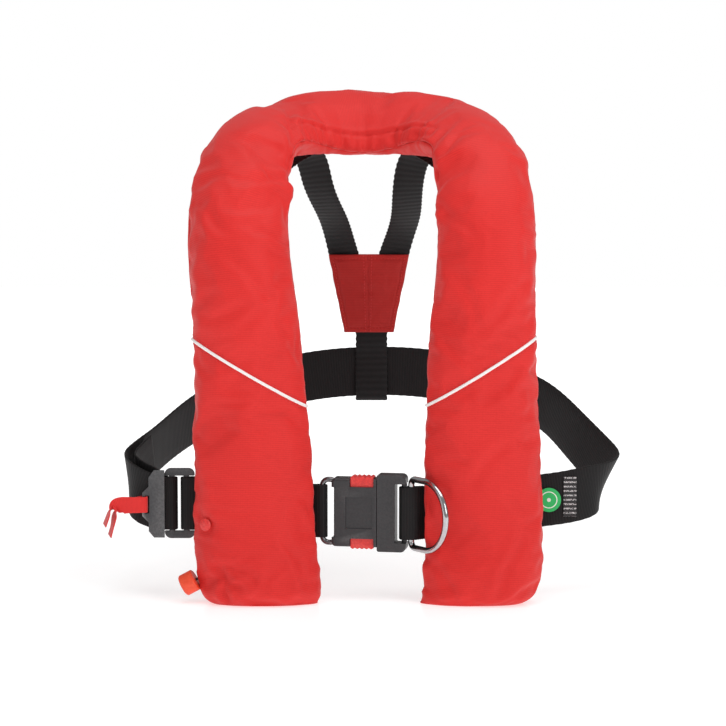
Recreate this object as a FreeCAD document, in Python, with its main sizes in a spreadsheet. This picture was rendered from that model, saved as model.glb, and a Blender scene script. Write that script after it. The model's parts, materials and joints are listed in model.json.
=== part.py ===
import FreeCAD, Part
import Sketcher
import math
import os

# Inflatable life jacket standing on its two lobes. X to the wearer's left, -Y is the chest side
# that shows, +Z up. The origin is at the floor, under the middle of the jacket.

V = FreeCAD.Vector

SIZES = {
    # webbing
    "webbing_width": 50,
    "webbing_thickness": 2.2,
    "strap_width": 30,
    "strap_thickness": 1.8,
    "layer_gap": 0.4,
    "clearance": 0.3,
    # cover
    "cover_thickness": 1.6,
    "lobe_height": 350,
    "lobe_thickness": 60,
    "chest_depth": -122,
    "collar_half_width": 40,
    "collar_thickness": 48,
    "seam_half_angle": 4,
    "bladder_gap": 3.6,
    "piping_width": 3,
    "piping_height": 1.2,
    # belt line
    "belt_height": 84,
    "adjuster_height": 90.5,
    "back_belt_height": 189,
    "back_depth": 156,
    "belt_reach_left": 223,
    "belt_reach_right": 232,
    # buckle
    "buckle_depth": 18,
    "housing_length": 39,
    "tongue_length": 27.5,
    "blade_length": 16.5,
    "blade_thickness": 4.4,
    "blade_half_width": 13,
    "button_width": 22,
    "button_travel": 3,
    "ring_rod": 5,
    "ring_pitch": 13.5,
    "d_ring_rod": 6,
    "d_ring_length": 54,
    # adjuster
    "plate_thickness": 3.2,
    "bar_width": 5,
    "bar_pitch": 13.5,
    "lock_plate_thickness": 3,
    "pull_tab_width": 15,
    # inflator
    "inflator_width": 40,
    "inflator_depth": 30,
    "inflator_height": 62,
    "cylinder_radius": 17.5,
    "cylinder_length": 178,
    "cylinder_neck_radius": 7,
    "cylinder_wall": 2.2,
    "cartridge_radius": 8.5,
    "cap_radius": 11,
    "lever_pin_radius": 2,
    "knob_radius": 10.25,
    "knob_length": 14,
    "cord_radius": 1.2,
    # oral tube
    "tube_radius": 6,
    "tube_bore": 4,
    "tube_length": 130,
    # yoke
    "patch_thickness": 1.2,
    "patch_height": 80,
    "stud_radius": 6,
}

BACK_CENTRE = 6
BUCKLE_TURN = -10
LOBE_BELT_SIDE = {"left": -1, "right": 1}

doc = FreeCAD.newDocument("life_jacket")
sheet = doc.addObject("Spreadsheet::Sheet", "dims")
for row, (alias, value) in enumerate(SIZES.items(), start=1):
    sheet.set(f"A{row}", alias.replace("_", " "))
    sheet.set(f"B{row}", str(value))
    sheet.setAlias(f"B{row}", alias)
doc.recompute()

sub_parts = []


def size(alias):
    return float(sheet.get(alias))


def number(expression):
    return float(sheet.evalExpression(str(expression)))


# ---------------------------------------------------------------- solids made from sketches


def new_body(label):
    body = doc.addObject("PartDesign::Body", f"{label}_body")
    body.Label = label
    sub_parts.append(body)
    return body


def place(part, position, rotation=None):
    part.Placement = FreeCAD.Placement(V(*position), rotation or FreeCAD.Rotation())


def sketch_on(body, plane, offset="0", outlines=(), circles=()):
    """A sketch of closed outlines and circles; every vertex and radius is bound to the sheet."""
    sketch = body.newObject("Sketcher::SketchObject", f"{body.Label}_sketch")
    support = [f for f in body.Origin.OriginFeatures if f.Role == plane][0]
    sketch.AttachmentSupport = [(support, "")]
    sketch.MapMode = "FlatFace"
    sketch.setExpression(".AttachmentOffset.Base.z", str(offset))

    def bind(kind, geometry, point, expression):
        constraint = Sketcher.Constraint(kind, -1, 1, geometry, point, number(expression))
        index = sketch.addConstraint(constraint)
        sketch.setExpression(f"Constraints[{index}]", str(expression))

    for outline in outlines:
        corners = [V(number(x), number(y), 0) for x, y in outline]
        count = len(corners)
        lines = [
            sketch.addGeometry(Part.LineSegment(corners[i], corners[(i + 1) % count]), False)
            for i in range(count)
        ]
        for i, line in enumerate(lines):
            following = lines[(i + 1) % count]
            sketch.addConstraint(Sketcher.Constraint("Coincident", line, 2, following, 1))
            bind("DistanceX", line, 1, outline[i][0])
            bind("DistanceY", line, 1, outline[i][1])
    for x, y, radius in circles:
        centre = V(number(x), number(y), 0)
        circle = sketch.addGeometry(Part.Circle(centre, V(0, 0, 1), number(radius)), False)
        bind("DistanceX", circle, 3, x)
        bind("DistanceY", circle, 3, y)
        index = sketch.addConstraint(Sketcher.Constraint("Radius", circle, number(radius)))
        sketch.setExpression(f"Constraints[{index}]", str(radius))
    doc.recompute()
    return sketch


def rectangle(left, bottom, right, top):
    return [(left, bottom), (right, bottom), (right, top), (left, top)]


def pad(body, sketch, length):
    feature = body.newObject("PartDesign::Pad", f"{body.Label}_pad")
    feature.Profile = sketch
    feature.setExpression("Length", str(length))
    doc.recompute()
    return feature


def pocket(body, sketch, depth):
    before = body.Shape.Volume
    feature = body.newObject("PartDesign::Pocket", f"{body.Label}_pocket")
    feature.Profile = sketch
    feature.setExpression("Length", str(depth))
    doc.recompute()
    if not body.Shape.Volume < before - 1e-3:
        raise RuntimeError(f"a pocket of {body.Label} cuts nothing")
    return feature


def revolve(body, sketch):
    feature = body.newObject("PartDesign::Revolution", f"{body.Label}_revolution")
    feature.Profile = sketch
    feature.ReferenceAxis = (sketch, ["V_Axis"])
    feature.Angle = 360
    doc.recompute()
    return feature


def round_edges(body, radius, chosen):
    """Fillet the edges of the finished shape that `chosen` accepts."""
    names = [f"Edge{i}" for i, edge in enumerate(body.Shape.Edges, start=1) if chosen(edge)]
    tip = body.Tip
    feature = body.newObject("PartDesign::Fillet", f"{body.Label}_fillet")
    feature.Base = (tip, names)
    feature.setExpression("Radius", str(radius))
    doc.recompute()
    return feature


def runs_along(edge, axis):
    if edge.Curve.TypeId != "Part::GeomLine":
        return False
    return abs(edge.Curve.Direction.dot(axis)) > 0.999


def outer_corner(axis, reach_x, reach_y):
    """Edges along `axis` whose middle is at least that far out in the other two directions."""
    others = [i for i in range(3) if abs(axis[i]) < 0.5]

    def chosen(edge):
        if not runs_along(edge, axis):
            return False
        middle = edge.BoundBox.Center
        return abs(middle[others[0]]) >= reach_x and abs(middle[others[1]]) >= reach_y

    return chosen


# ---------------------------------------------------------------- solids made from curves


def new_feature(label, shape):
    feature = doc.addObject("Part::Feature", f"{label}_solid")
    feature.Label = label
    if shape.Volume < 0:
        shape.reverse()
    feature.Shape = shape
    sub_parts.append(feature)
    return feature


def polygon(corners):
    return Part.makePolygon(list(corners) + [corners[0]])


def band(points, across, width, thickness):
    """A flat strip of webbing along points; across gives its width direction at each."""
    wires = []
    last = len(points) - 1
    for i, point in enumerate(points):
        along = (points[min(i + 1, last)] - points[max(i - 1, 0)]).normalize()
        flat = across[i] - along * across[i].dot(along)
        flat.normalize()
        normal = along.cross(flat)
        half_width = flat * (width / 2)
        half_thickness = normal * (thickness / 2)
        wires.append(
            polygon(
                [
                    point - half_width - half_thickness,
                    point + half_width - half_thickness,
                    point + half_width + half_thickness,
                    point - half_width + half_thickness,
                ]
            )
        )
    return Part.makeLoft(wires, True, True)


def sampled(points, across, spacing=14):
    """Even steps along the smooth curve through points, with the width direction at each."""
    curve = Part.BSplineCurve()
    curve.interpolate(points)
    at_points = [curve.parameter(point) for point in points]
    edge = curve.toShape()
    count = max(len(points), int(edge.Length / spacing))
    along = [edge.getParameterByLength(edge.Length * i / count) for i in range(count + 1)]
    directions = []
    for parameter in along:
        k = 0
        while k < len(points) - 2 and parameter > at_points[k + 1]:
            k += 1
        share = (parameter - at_points[k]) / (at_points[k + 1] - at_points[k])
        directions.append(across[k] * (1 - share) + across[k + 1] * share)
    return [edge.valueAt(p) for p in along], directions


def arc_points(centre, radius, start, end, count=8):
    """Points (x, y) of an arc about centre, angles in degrees."""
    result = []
    for i in range(count + 1):
        angle = math.radians(start + (end - start) * i / count)
        result.append((centre[0] + radius * math.cos(angle), centre[1] + radius * math.sin(angle)))
    return result


def coil_spring(centre, axis, radius, wire_radius, length, turns):
    """A helical spring that starts at centre and runs along axis."""
    helix = Part.makeHelix((length - 2 * wire_radius) / turns, length - 2 * wire_radius, radius)
    profile = Part.Wire(Part.makeCircle(wire_radius, V(radius, 0, 0), V(0, 1, 0)))
    spring = Part.Wire(helix).makePipeShell([profile], True, True)
    spring.Placement = FreeCAD.Placement(
        centre + axis * wire_radius, FreeCAD.Rotation(V(0, 0, 1), axis)
    )
    return spring


# ---------------------------------------------------------------- the horseshoe

# share of the lobe height, inner edge, outer edge, share of the lobe thickness
LEFT_LOBE = [
    (0.000, 42, 140, 0.60),
    (0.023, 41, 148, 0.78),
    (0.065, 41.5, 153.5, 0.86),
    (0.130, 43, 156.5, 0.88),
    (0.277, 46, 158.5, 0.86),
    (0.486, 50.5, 158, 0.93),
    (0.686, 57, 157.5, 1.0),
    (0.857, 65, 160, 1.0),
    (1.000, 69.5, 163, 1.0),
]
RIGHT_LOBE = [
    (0.000, 54, 147, 0.60),
    (0.023, 56, 157, 0.76),
    (0.065, 57, 163.5, 0.82),
    (0.130, 57.2, 167, 0.82),
    (0.277, 57.2, 167.5, 0.78),
    (0.486, 58.5, 165.5, 0.92),
    (0.686, 61.5, 162, 1.0),
    (0.857, 67.5, 160, 1.0),
    (1.000, 69.5, 160, 1.0),
]
# distance from the middle, depth behind the lobes, rise over the lobe height, outward direction,
# and how far the section has gone from the lobe's size (0) to the collar's (1)
SHOULDER = [
    (113, 34, 40, (0.1, -0.77, 0.63), 0.15),
    (104, 67, 70, (0.3, -0.45, 0.84), 0.45),
    (84, 102, 86, (0.15, -0.4, 0.9), 0.75),
    (50, 134, 93, (0.05, -0.55, 0.83), 1.0),
]
COLLAR_MIDDLE = (0, 146, 93, (0, -0.62, 0.79), 1.0)
OUTER_FULLNESS = 2.4
INNER_FULLNESS = 1.7
LOBE_TOP_HALF_WIDTH = 46
BEND_BACK = 10


class Station:
    """One section across the horseshoe."""

    def __init__(self, centre, outward, half_width, half_thickness):
        self.centre = centre
        self.outward = outward
        self.half_width = half_width
        self.half_thickness = half_thickness
        self.across = None

    def point(self, angle, offset):
        """Point of the section, offset beyond the cover's outer face."""
        across = math.cos(math.radians(angle))
        out = math.sin(math.radians(angle))
        power = 2 / (OUTER_FULLNESS if across > 0 else INNER_FULLNESS)
        u = (self.half_width + offset) * math.copysign(abs(across) ** power, across)
        v = (self.half_thickness + offset) * math.copysign(abs(out) ** power, out)
        return self.centre + self.across * u + self.outward * v


def lobe_stations(table, side):
    stations = []
    for share, inner, outer, fullness in table:
        back = BEND_BACK if share == 1 else 0
        centre = V(side * (inner + outer) / 2, size("chest_depth") + back, share * size("lobe_height"))
        outward = V(0, -0.935, 0.35) if share == 1 else V(0, -1, 0)
        thick = fullness * size("lobe_thickness") / 2
        stations.append(Station(centre, outward, (outer - inner) / 2, thick))
    return stations


def collar_station(entry, side):
    x, back, rise, outward, share = entry
    centre = V(side * x, size("chest_depth") + back, size("lobe_height") + rise)
    normal = V(side * outward[0], outward[1], outward[2])
    half_width = LOBE_TOP_HALF_WIDTH * (1 - share) + size("collar_half_width") * share
    half_thick = size("lobe_thickness") / 2 * (1 - share) + size("collar_thickness") / 2 * share
    return Station(centre, normal, half_width, half_thick)


def horseshoe():
    """All sections, from the bottom of the left lobe round the collar to the right one's."""
    stations = lobe_stations(LEFT_LOBE, -1)
    stations += [collar_station(entry, -1) for entry in SHOULDER]
    stations.append(collar_station(COLLAR_MIDDLE, 1))
    stations += [collar_station(entry, 1) for entry in reversed(SHOULDER)]
    stations += list(reversed(lobe_stations(RIGHT_LOBE, 1)))
    last = len(stations) - 1
    for i, station in enumerate(stations):
        before = stations[max(i - 1, 0)].centre
        after = stations[min(i + 1, last)].centre
        along = (after - before).normalize()
        if i < 7 or i > last - 7:
            along = V(0, 0, 1 if i < 7 else -1)
        normal = station.outward - along * station.outward.dot(along)
        station.outward = normal.normalize()
        station.across = station.outward.cross(along)
    return stations


STATIONS = horseshoe()
LEFT_COUNT = len(LEFT_LOBE)
MIDDLE = len(STATIONS) // 2


def curve_through(points):
    curve = Part.BSplineCurve()
    curve.interpolate(points)
    return curve.toShape()


def angles_between(start, end, count):
    return [start + (end - start) * i / (count - 1) for i in range(count)]


def panel(stations, start, end, outer, inner, count=13):
    """A curved sheet between two angles of the section and two offsets."""
    wires = []
    for station in stations:
        angles = angles_between(start, end, count)
        outside = [station.point(a, outer) for a in angles]
        inside = [station.point(a, inner) for a in reversed(angles)]
        wires.append(
            Part.Wire(
                [
                    curve_through(outside),
                    Part.LineSegment(outside[-1], inside[0]).toShape(),
                    curve_through(inside),
                    Part.LineSegment(inside[-1], outside[0]).toShape(),
                ]
            )
        )
    return Part.makeLoft(wires, True, False)


def filled(stations, offset):
    """The full sections, lofted into one solid."""
    wires = []
    for station in stations:
        front = [station.point(a, offset) for a in angles_between(0, 180, 13)]
        back = [station.point(a, offset) for a in angles_between(180, 360, 13)]
        wires.append(Part.Wire([curve_through(front), curve_through(back)]))
    return Part.makeLoft(wires, True, False)


def lobe_half_thickness(side, x):
    """How far the lobe reaches behind its middle at distance x, at belt height."""
    table = LEFT_LOBE if side == "left" else RIGHT_LOBE
    share, inner, outer, fullness = table[4]
    fullness += 0.4 * (table[5][3] - fullness)
    middle = (inner + outer) / 2
    reach = min(abs(x - middle) / ((outer - inner) / 2), 0.995)
    power = OUTER_FULLNESS if x > middle else INNER_FULLNESS
    return fullness * size("lobe_thickness") / 2 * (1 - reach**power) ** (1 / power)


def behind_lobe(side, x, gap):
    """Depth of a strap's middle that clears the back of the lobe by gap."""
    return size("chest_depth") + lobe_half_thickness(side, x) + gap + size("webbing_thickness") / 2


# ---------------------------------------------------------------- cover


def diagonal_box(side, above, shift=0.0, width=400.0):
    """A block above or below the piping line of one lobe."""
    inner_height, outer_height = (189, 249) if side < 0 else (188, 252)
    inner_x, outer_x = (57, 157.5) if side < 0 else (61, 162)
    slope = math.degrees(math.atan2(outer_height - inner_height, outer_x - inner_x))
    block = Part.makeBox(width, 90, width, V(-width / 2, -45, 0 if above else -width))
    block.translate(V(0, 0, shift))
    block.rotate(V(0, 0, 0), V(0, 1, 0), slope if side < 0 else -slope)
    middle_x = side * (inner_x + outer_x) / 2
    block.translate(V(middle_x, size("chest_depth"), (inner_height + outer_height) / 2))
    return block


def make_cover():
    seam = size("seam_half_angle")
    thick = size("cover_thickness")
    stations = STATIONS
    front = panel(stations, seam, 180 - seam, 0, -thick)
    left_below = Part.makeBox(200, 90, 300, V(-200, size("chest_depth") - 45, -20))
    right_below = left_below.mirror(V(0, 0, 0), V(1, 0, 0))
    half_gap = size("clearance") / 2
    lower_left = front.common(left_below.common(diagonal_box(-1, False, -half_gap)))
    lower_right = front.common(right_below.common(diagonal_box(1, False, -half_gap)))
    upper = front.cut(diagonal_box(-1, False, half_gap).common(left_below))
    upper = upper.cut(diagonal_box(1, False, half_gap).common(right_below))
    back = panel(stations, 180 + seam, 360 - seam, 0, -thick)
    return upper, lower_left, lower_right, back


def end_cap(side):
    """The fabric that closes the bottom of a lobe."""
    stations = STATIONS[:2] if side < 0 else list(reversed(STATIONS[-2:]))
    thick = size("cover_thickness")
    first = stations[0]
    offset = -thick - size("clearance")
    wires = []
    for rise in (0, thick):
        front = [first.point(a, offset) + V(0, 0, rise) for a in angles_between(0, 180, 13)]
        back = [first.point(a, offset) + V(0, 0, rise) for a in angles_between(180, 360, 13)]
        wires.append(Part.Wire([curve_through(front), curve_through(back)]))
    return Part.makeLoft(wires, True, True)


def make_piping(side):
    seam = size("seam_half_angle")
    half = size("piping_width") / 2
    # the skin of the seam, a little clear of the panels under it
    skin = panel(STATIONS, seam, 180 - seam, 0.3 + size("piping_height"), 0.3)
    slab = diagonal_box(side, True, -half).common(diagonal_box(side, False, half))
    lobe = Part.makeBox(200, 90, 330, V(-200 if side < 0 else 0, size("chest_depth") - 45, 0))
    return skin.common(slab.common(lobe))


def edge_strip(stations, start, end):
    """A narrow strip of the section's edge, as thick as the cover."""
    thick = size("cover_thickness")
    wires = []
    for station in stations:
        wires.append(
            polygon(
                [
                    station.point(start, 0),
                    station.point(end, 0),
                    station.point(end, -thick),
                    station.point(start, -thick),
                ]
            )
        )
    return Part.makeLoft(wires, True, False)


def make_bladder():
    """The gas chamber, folded to the back where the inflator and the oral tube lie."""
    shape = filled(STATIONS[1:-1], -size("cover_thickness") - size("bladder_gap"))
    depth = size("chest_depth")
    left_room = Part.makeBox(200, 60, 254, V(-200, depth - 44.8, 0))
    right_room = Part.makeBox(200, 60, 284, V(0, depth - 63.5, 0))
    return shape.cut(left_room).cut(right_room)


def build_cover():
    upper, lower_left, lower_right, back = make_cover()
    stud = stud_frame()
    stem = Part.makeCylinder(1.7, 14, stud[0] - stud[1] * 9, stud[1])
    new_feature("cover_upper", upper)
    new_feature("cover_lower_left", lower_left.cut(stem))
    new_feature("cover_lower_right", lower_right)
    new_feature("cover_back", back)
    new_feature("lobe_end_left", end_cap(-1))
    new_feature("lobe_end_right", end_cap(1))
    new_feature("piping_left", make_piping(-1))
    new_feature("piping_right", make_piping(1))
    edge = 0.45 * size("seam_half_angle")
    above_exit = STATIONS[3:-3]
    new_feature("closure_hook_strip", edge_strip(above_exit, 0.3, edge))
    new_feature("closure_loop_strip", edge_strip(above_exit, -0.3, -edge))
    binding = edge_strip(STATIONS, 180 - edge, 180 + edge)
    for cloth in (upper, lower_left, lower_right, back):
        binding = binding.cut(cloth)
    new_feature("inner_edge_binding", binding)
    new_feature("bladder", make_bladder())


def stud_frame():
    """Where the press stud sits on the left lobe, and the way it faces."""
    inner, outer = LEFT_LOBE[3][1], LEFT_LOBE[3][2]
    middle = (inner + outer) / 2
    half = (outer - inner) / 2
    reach = (146 - middle) / half
    thick = 0.87 * size("lobe_thickness") / 2
    lift = (1 - reach**OUTER_FULLNESS) ** (1 / OUTER_FULLNESS)
    point = V(-146, size("chest_depth") - lift * thick, 77)
    normal = V(
        -(reach ** (OUTER_FULLNESS - 1)) / half, -(lift ** (OUTER_FULLNESS - 1)) / thick, 0
    )
    return point, normal.normalize()


def build_press_stud():
    point, normal = stud_frame()
    turn = FreeCAD.Rotation(V(0, 0, 1), normal)
    cap = new_body("press_stud_cap")
    profile = [
        ("0", "1"),
        ("dims.stud_radius - 0.6", "1"),
        ("dims.stud_radius", "1.6"),
        ("dims.stud_radius - 0.7", "2.7"),
        ("dims.stud_radius * 0.5", "3.4"),
        ("0", "3.6"),
    ]
    revolve(cap, sketch_on(cap, "XZ_Plane", outlines=[profile]))
    stem = sketch_on(cap, "XY_Plane", "-5", circles=[("0", "0", "1.4")])
    pad(cap, stem, "6.2")
    place(cap, point, turn)
    socket = new_body("press_stud_socket")
    ring = sketch_on(
        socket, "XY_Plane", "-4.4", circles=[("0", "0", "dims.stud_radius - 0.8"), ("0", "0", "1.7")]
    )
    pad(socket, ring, "1.4")
    place(socket, point, turn)


# ---------------------------------------------------------------- buckle

BUCKLE_CENTRE = (6, size("chest_depth") + 14, size("belt_height"))
BUCKLE_ROTATION = FreeCAD.Rotation(V(0, 0, 1), BUCKLE_TURN)
HOUSING_RIGHT = "8"
TONGUE_LEFT = "8.3"
RING_BAR_X = -31.5
D_RING_X = 40
HOUSING_HALF = "(dims.webbing_width / 2 + 7.5)"
TONGUE_HALF = "(dims.webbing_width / 2 + 11.5)"
DEPTH_HALF = "(dims.buckle_depth / 2)"
BUTTON_MIDDLE = "(-6)"
BUTTON_HALF = "(dims.buckle_depth / 2 - 2)"


def to_world(x, y, z=0.0):
    """A point of the buckle's own frame in the jacket's frame."""
    placement = FreeCAD.Placement(V(*BUCKLE_CENTRE), BUCKLE_ROTATION)
    return placement.multVec(V(x, y, z))


def build_housing():
    body = new_body("buckle_housing")
    left = f"({HOUSING_RIGHT} - dims.housing_length - 4)"
    front = f"{DEPTH_HALF}"
    outline = [
        (left, f"-{HOUSING_HALF}"),
        (HOUSING_RIGHT, f"-{HOUSING_HALF}"),
        (HOUSING_RIGHT, HOUSING_HALF),
        (left, HOUSING_HALF),
    ]
    pad(body, sketch_on(body, "XZ_Plane", f"-{front}", [outline]), "dims.buckle_depth")
    corner = outer_corner(V(0, 1, 0), 30, 20)
    round_edges(body, "4", lambda e: corner(e) and e.BoundBox.Center.x < 0)
    ends = outer_corner(V(0, 0, 1), 30, 5)
    round_edges(body, "2.5", lambda e: ends(e) and e.BoundBox.Center.x < 0)
    # window in which the ring's bar shows
    window = rectangle(f"{left} - 1", f"-{HOUSING_HALF} + 8.5", str(RING_BAR_X), f"{HOUSING_HALF} - 8.5")
    pocket(body, sketch_on(body, "XZ_Plane", f"{front} + 1", [window]), "dims.buckle_depth + 2")
    bore = [(str(RING_BAR_X), "0", "dims.ring_rod / 2 + dims.clearance")]
    hole = sketch_on(body, "XY_Plane", f"{HOUSING_HALF} + 1", circles=bore)
    pocket(body, hole, f"2 * {HOUSING_HALF} + 2")
    # slots in which the ring's corners turn out of the housing
    ring_deep = "(dims.ring_rod / 2 + dims.clearance)"
    for low, high in (("dims.webbing_width / 2 - 3", f"{HOUSING_HALF} + 1"), (f"-{HOUSING_HALF} - 1", "3 - dims.webbing_width / 2")):
        corner_slot = rectangle(f"{left} - 1", low, f"{RING_BAR_X} + {ring_deep}", high)
        pocket(body, sketch_on(body, "XZ_Plane", ring_deep, [corner_slot]), f"2 * {ring_deep}")
    # cavity for the blade
    half_wide = "(dims.blade_half_width + dims.clearance)"
    half_deep = "(dims.blade_thickness / 2 + dims.clearance)"
    mouth = rectangle(f"-{half_deep}", f"-{half_wide}", half_deep, half_wide)
    cavity = sketch_on(body, "YZ_Plane", f"{HOUSING_RIGHT} + 1", [mouth])
    pocket(body, cavity, "dims.blade_length + dims.clearance + 2")
    # recessed square on the face
    face = rectangle("-21.3", "-15", "4.1", "15")
    pocket(body, sketch_on(body, "XZ_Plane", front, [face]), "1.2")
    # button notches and their spring pockets
    for up in (1, -1):
        notch_left = f"({BUTTON_MIDDLE} - dims.button_width / 2 - dims.clearance)"
        notch_right = f"({BUTTON_MIDDLE} + dims.button_width / 2 + dims.clearance)"
        low = f"{up} * ({HOUSING_HALF} - 8)"
        high = f"{up} * ({HOUSING_HALF} + 1)"
        notch = rectangle(notch_left, low, notch_right, high)
        if up < 0:
            notch = rectangle(notch_left, high, notch_right, low)
        pocket(body, sketch_on(body, "XZ_Plane", f"{front} + 1", [notch]), "dims.buckle_depth + 2")
        # the button's foot runs behind the housing's face
        room_low = f"{up} * ({HOUSING_HALF} - 12)"
        room_high = f"{up} * ({HOUSING_HALF} - 7)"
        room = rectangle(notch_left, room_low, notch_right, room_high)
        if up < 0:
            room = rectangle(notch_left, room_high, notch_right, room_low)
        foot_half = f"({BUTTON_HALF} + dims.clearance)"
        pocket(body, sketch_on(body, "XZ_Plane", foot_half, [room]), f"2 * {foot_half}")
        well = [(BUTTON_MIDDLE, "0", "2.6")]
        if up > 0:
            hole = sketch_on(body, "XY_Plane", f"{HOUSING_HALF} - 11", circles=well)
        else:
            hole = sketch_on(body, "XY_Plane", f"-({HOUSING_HALF} - 16.5)", circles=well)
        pocket(body, hole, "5.5")
    place(body, BUCKLE_CENTRE, BUCKLE_ROTATION)


def build_button(label, up):
    body = new_body(label)
    half = "dims.button_width / 2"
    base = f"({HOUSING_HALF} - 12 + dims.button_travel + 0.5)"
    top = f"({HOUSING_HALF} + 2.2)"
    teeth = 5
    outline = [
        (f"{BUTTON_MIDDLE} - {half}", f"{up} * {base}"),
        (f"{BUTTON_MIDDLE} - {half}", f"{up} * ({top} - 1.2)"),
    ]
    for tooth in range(teeth):
        middle = f"(dims.button_width * {(tooth + 0.5) / teeth} - {half})"
        end = f"(dims.button_width * {(tooth + 1) / teeth} - {half})"
        outline.append((f"{BUTTON_MIDDLE} + {middle}", f"{up} * {top}"))
        outline.append((f"{BUTTON_MIDDLE} + {end}", f"{up} * ({top} - 1.2)"))
    outline.append((f"{BUTTON_MIDDLE} + {half}", f"{up} * {base}"))
    face = sketch_on(body, "XZ_Plane", f"-{BUTTON_HALF}", [outline])
    pad(body, face, f"2 * {BUTTON_HALF}")
    place(body, BUCKLE_CENTRE, BUCKLE_ROTATION)


def build_button_spring(label, up):
    """Compression spring between the well's floor and the button."""
    half = number(HOUSING_HALF)
    foot = half - 16.5
    head = half - 12 + size("button_travel") + 0.5
    length = head - foot - 0.2
    spring = coil_spring(V(0, 0, 0), V(0, 0, 1), 1.9, 0.35, length, 5)
    if up < 0:
        spring = spring.mirror(V(0, 0, 0), V(0, 0, 1))
    spring.translate(V(number(BUTTON_MIDDLE), 0, up * (foot + 0.1)))
    spring.Placement = FreeCAD.Placement(V(*BUCKLE_CENTRE), BUCKLE_ROTATION).multiply(spring.Placement)
    new_feature(label, spring)


def build_tongue():
    body = new_body("buckle_tongue")
    right = f"({TONGUE_LEFT} + dims.tongue_length)"
    frame = rectangle(TONGUE_LEFT, f"-{TONGUE_HALF}", right, TONGUE_HALF)
    pad(body, sketch_on(body, "XZ_Plane", f"-{DEPTH_HALF}", [frame]), "dims.buckle_depth")
    corner = outer_corner(V(0, 1, 0), 0, 20)
    round_edges(body, "5", lambda e: corner(e) and e.BoundBox.Center.x > 30)
    round_edges(body, "2", lambda e: corner(e) and e.BoundBox.Center.x < 10)
    window_half = "(dims.webbing_width / 2 + 3)"
    window = rectangle("25.5", f"-{window_half}", "30.9", window_half)
    pocket(body, sketch_on(body, "XZ_Plane", f"{DEPTH_HALF} + 1", [window]), "dims.buckle_depth + 2")
    # the bar is thinner than the frame, so that the webbing lies inside it
    for up in (1, -1):
        low = "3" if up > 0 else f"-{DEPTH_HALF} - 1"
        high = f"{DEPTH_HALF} + 1" if up > 0 else "-3"
        relief = rectangle("25.5", low, f"{right} + 1", high)
        step = sketch_on(body, "XY_Plane", window_half, [relief])
        pocket(body, step, f"2 * {window_half}")
    bar = outer_corner(V(0, 0, 1), 30.5, 2.5)
    round_edges(body, "2.9", lambda e: bar(e) and e.BoundBox.Center.x < 31.5)
    blade_left = f"({TONGUE_LEFT} - dims.blade_length)"
    blade = [
        (blade_left, "-dims.blade_half_width + 3"),
        (f"{blade_left} + 3", "-dims.blade_half_width"),
        (f"{TONGUE_LEFT} + 1", "-dims.blade_half_width"),
        (f"{TONGUE_LEFT} + 1", "dims.blade_half_width"),
        (f"{blade_left} + 3", "dims.blade_half_width"),
        (blade_left, "dims.blade_half_width - 3"),
    ]
    pad(
        body,
        sketch_on(body, "XZ_Plane", "-dims.blade_thickness / 2", [blade]),
        "dims.blade_thickness",
    )
    place(body, BUCKLE_CENTRE, BUCKLE_ROTATION)


def swept_ring(path, rod):
    start = path.Edges[0].firstVertex().Point
    along = path.Edges[0].tangentAt(path.Edges[0].FirstParameter)
    profile = Part.Wire(Part.makeCircle(rod / 2, start, along))
    return path.makePipeShell([profile], True, True)


def rounded_loop(half_height, pitch, corner):
    """Closed path of a flat ring in the XZ plane: bar at x=0, far side at x=pitch."""
    c, p, r = half_height, pitch, corner
    s = r * (1 - math.sqrt(0.5))
    in_x = math.copysign(r, p)
    s_x = math.copysign(s, p)
    corners = [
        (V(0, 0, -c + r), V(0, 0, c - r)),
        (V(0, 0, c - r), V(s_x, 0, c - s), V(in_x, 0, c)),
        (V(in_x, 0, c), V(p - in_x, 0, c)),
        (V(p - in_x, 0, c), V(p - s_x, 0, c - s), V(p, 0, c - r)),
        (V(p, 0, c - r), V(p, 0, -c + r)),
        (V(p, 0, -c + r), V(p - s_x, 0, -c + s), V(p - in_x, 0, -c)),
        (V(p - in_x, 0, -c), V(in_x, 0, -c)),
        (V(in_x, 0, -c), V(s_x, 0, -c + s), V(0, 0, -c + r)),
    ]
    edges = []
    for points in corners:
        if len(points) == 2:
            edges.append(Part.LineSegment(*points).toShape())
        else:
            edges.append(Part.Arc(*points).toShape())
    return Part.Wire(edges)


def build_rings():
    rod = size("ring_rod")
    half = size("webbing_width") / 2 + 5
    ring = swept_ring(rounded_loop(half, -size("ring_pitch"), 6), rod)
    ring_feature = new_feature("buckle_ring", ring)
    turned = BUCKLE_ROTATION
    ring_feature.Placement = FreeCAD.Placement(to_world(RING_BAR_X, 0), turned)
    rod = size("d_ring_rod")
    radius = size("webbing_width") / 2 + 7.5
    legs = size("d_ring_length") - radius
    corner = 6
    s = corner * (1 - math.sqrt(0.5))
    edges = [
        Part.LineSegment(V(0, 0, -radius + corner), V(0, 0, radius - corner)).toShape(),
        Part.Arc(
            V(0, 0, radius - corner), V(s, 0, radius - s), V(corner, 0, radius)
        ).toShape(),
        Part.LineSegment(V(corner, 0, radius), V(legs, 0, radius)).toShape(),
        Part.Arc(V(legs, 0, radius), V(legs + radius, 0, 0), V(legs, 0, -radius)).toShape(),
        Part.LineSegment(V(legs, 0, -radius), V(corner, 0, -radius)).toShape(),
        Part.Arc(
            V(corner, 0, -radius), V(s, 0, -radius + s), V(0, 0, -radius + corner)
        ).toShape(),
    ]
    feature = new_feature("d_ring", swept_ring(Part.Wire(edges), rod))
    turned = FreeCAD.Rotation(V(0, 0, 1), -d_ring_angle())
    feature.Placement = FreeCAD.Placement(to_world(D_RING_X, 0), turned)


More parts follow.
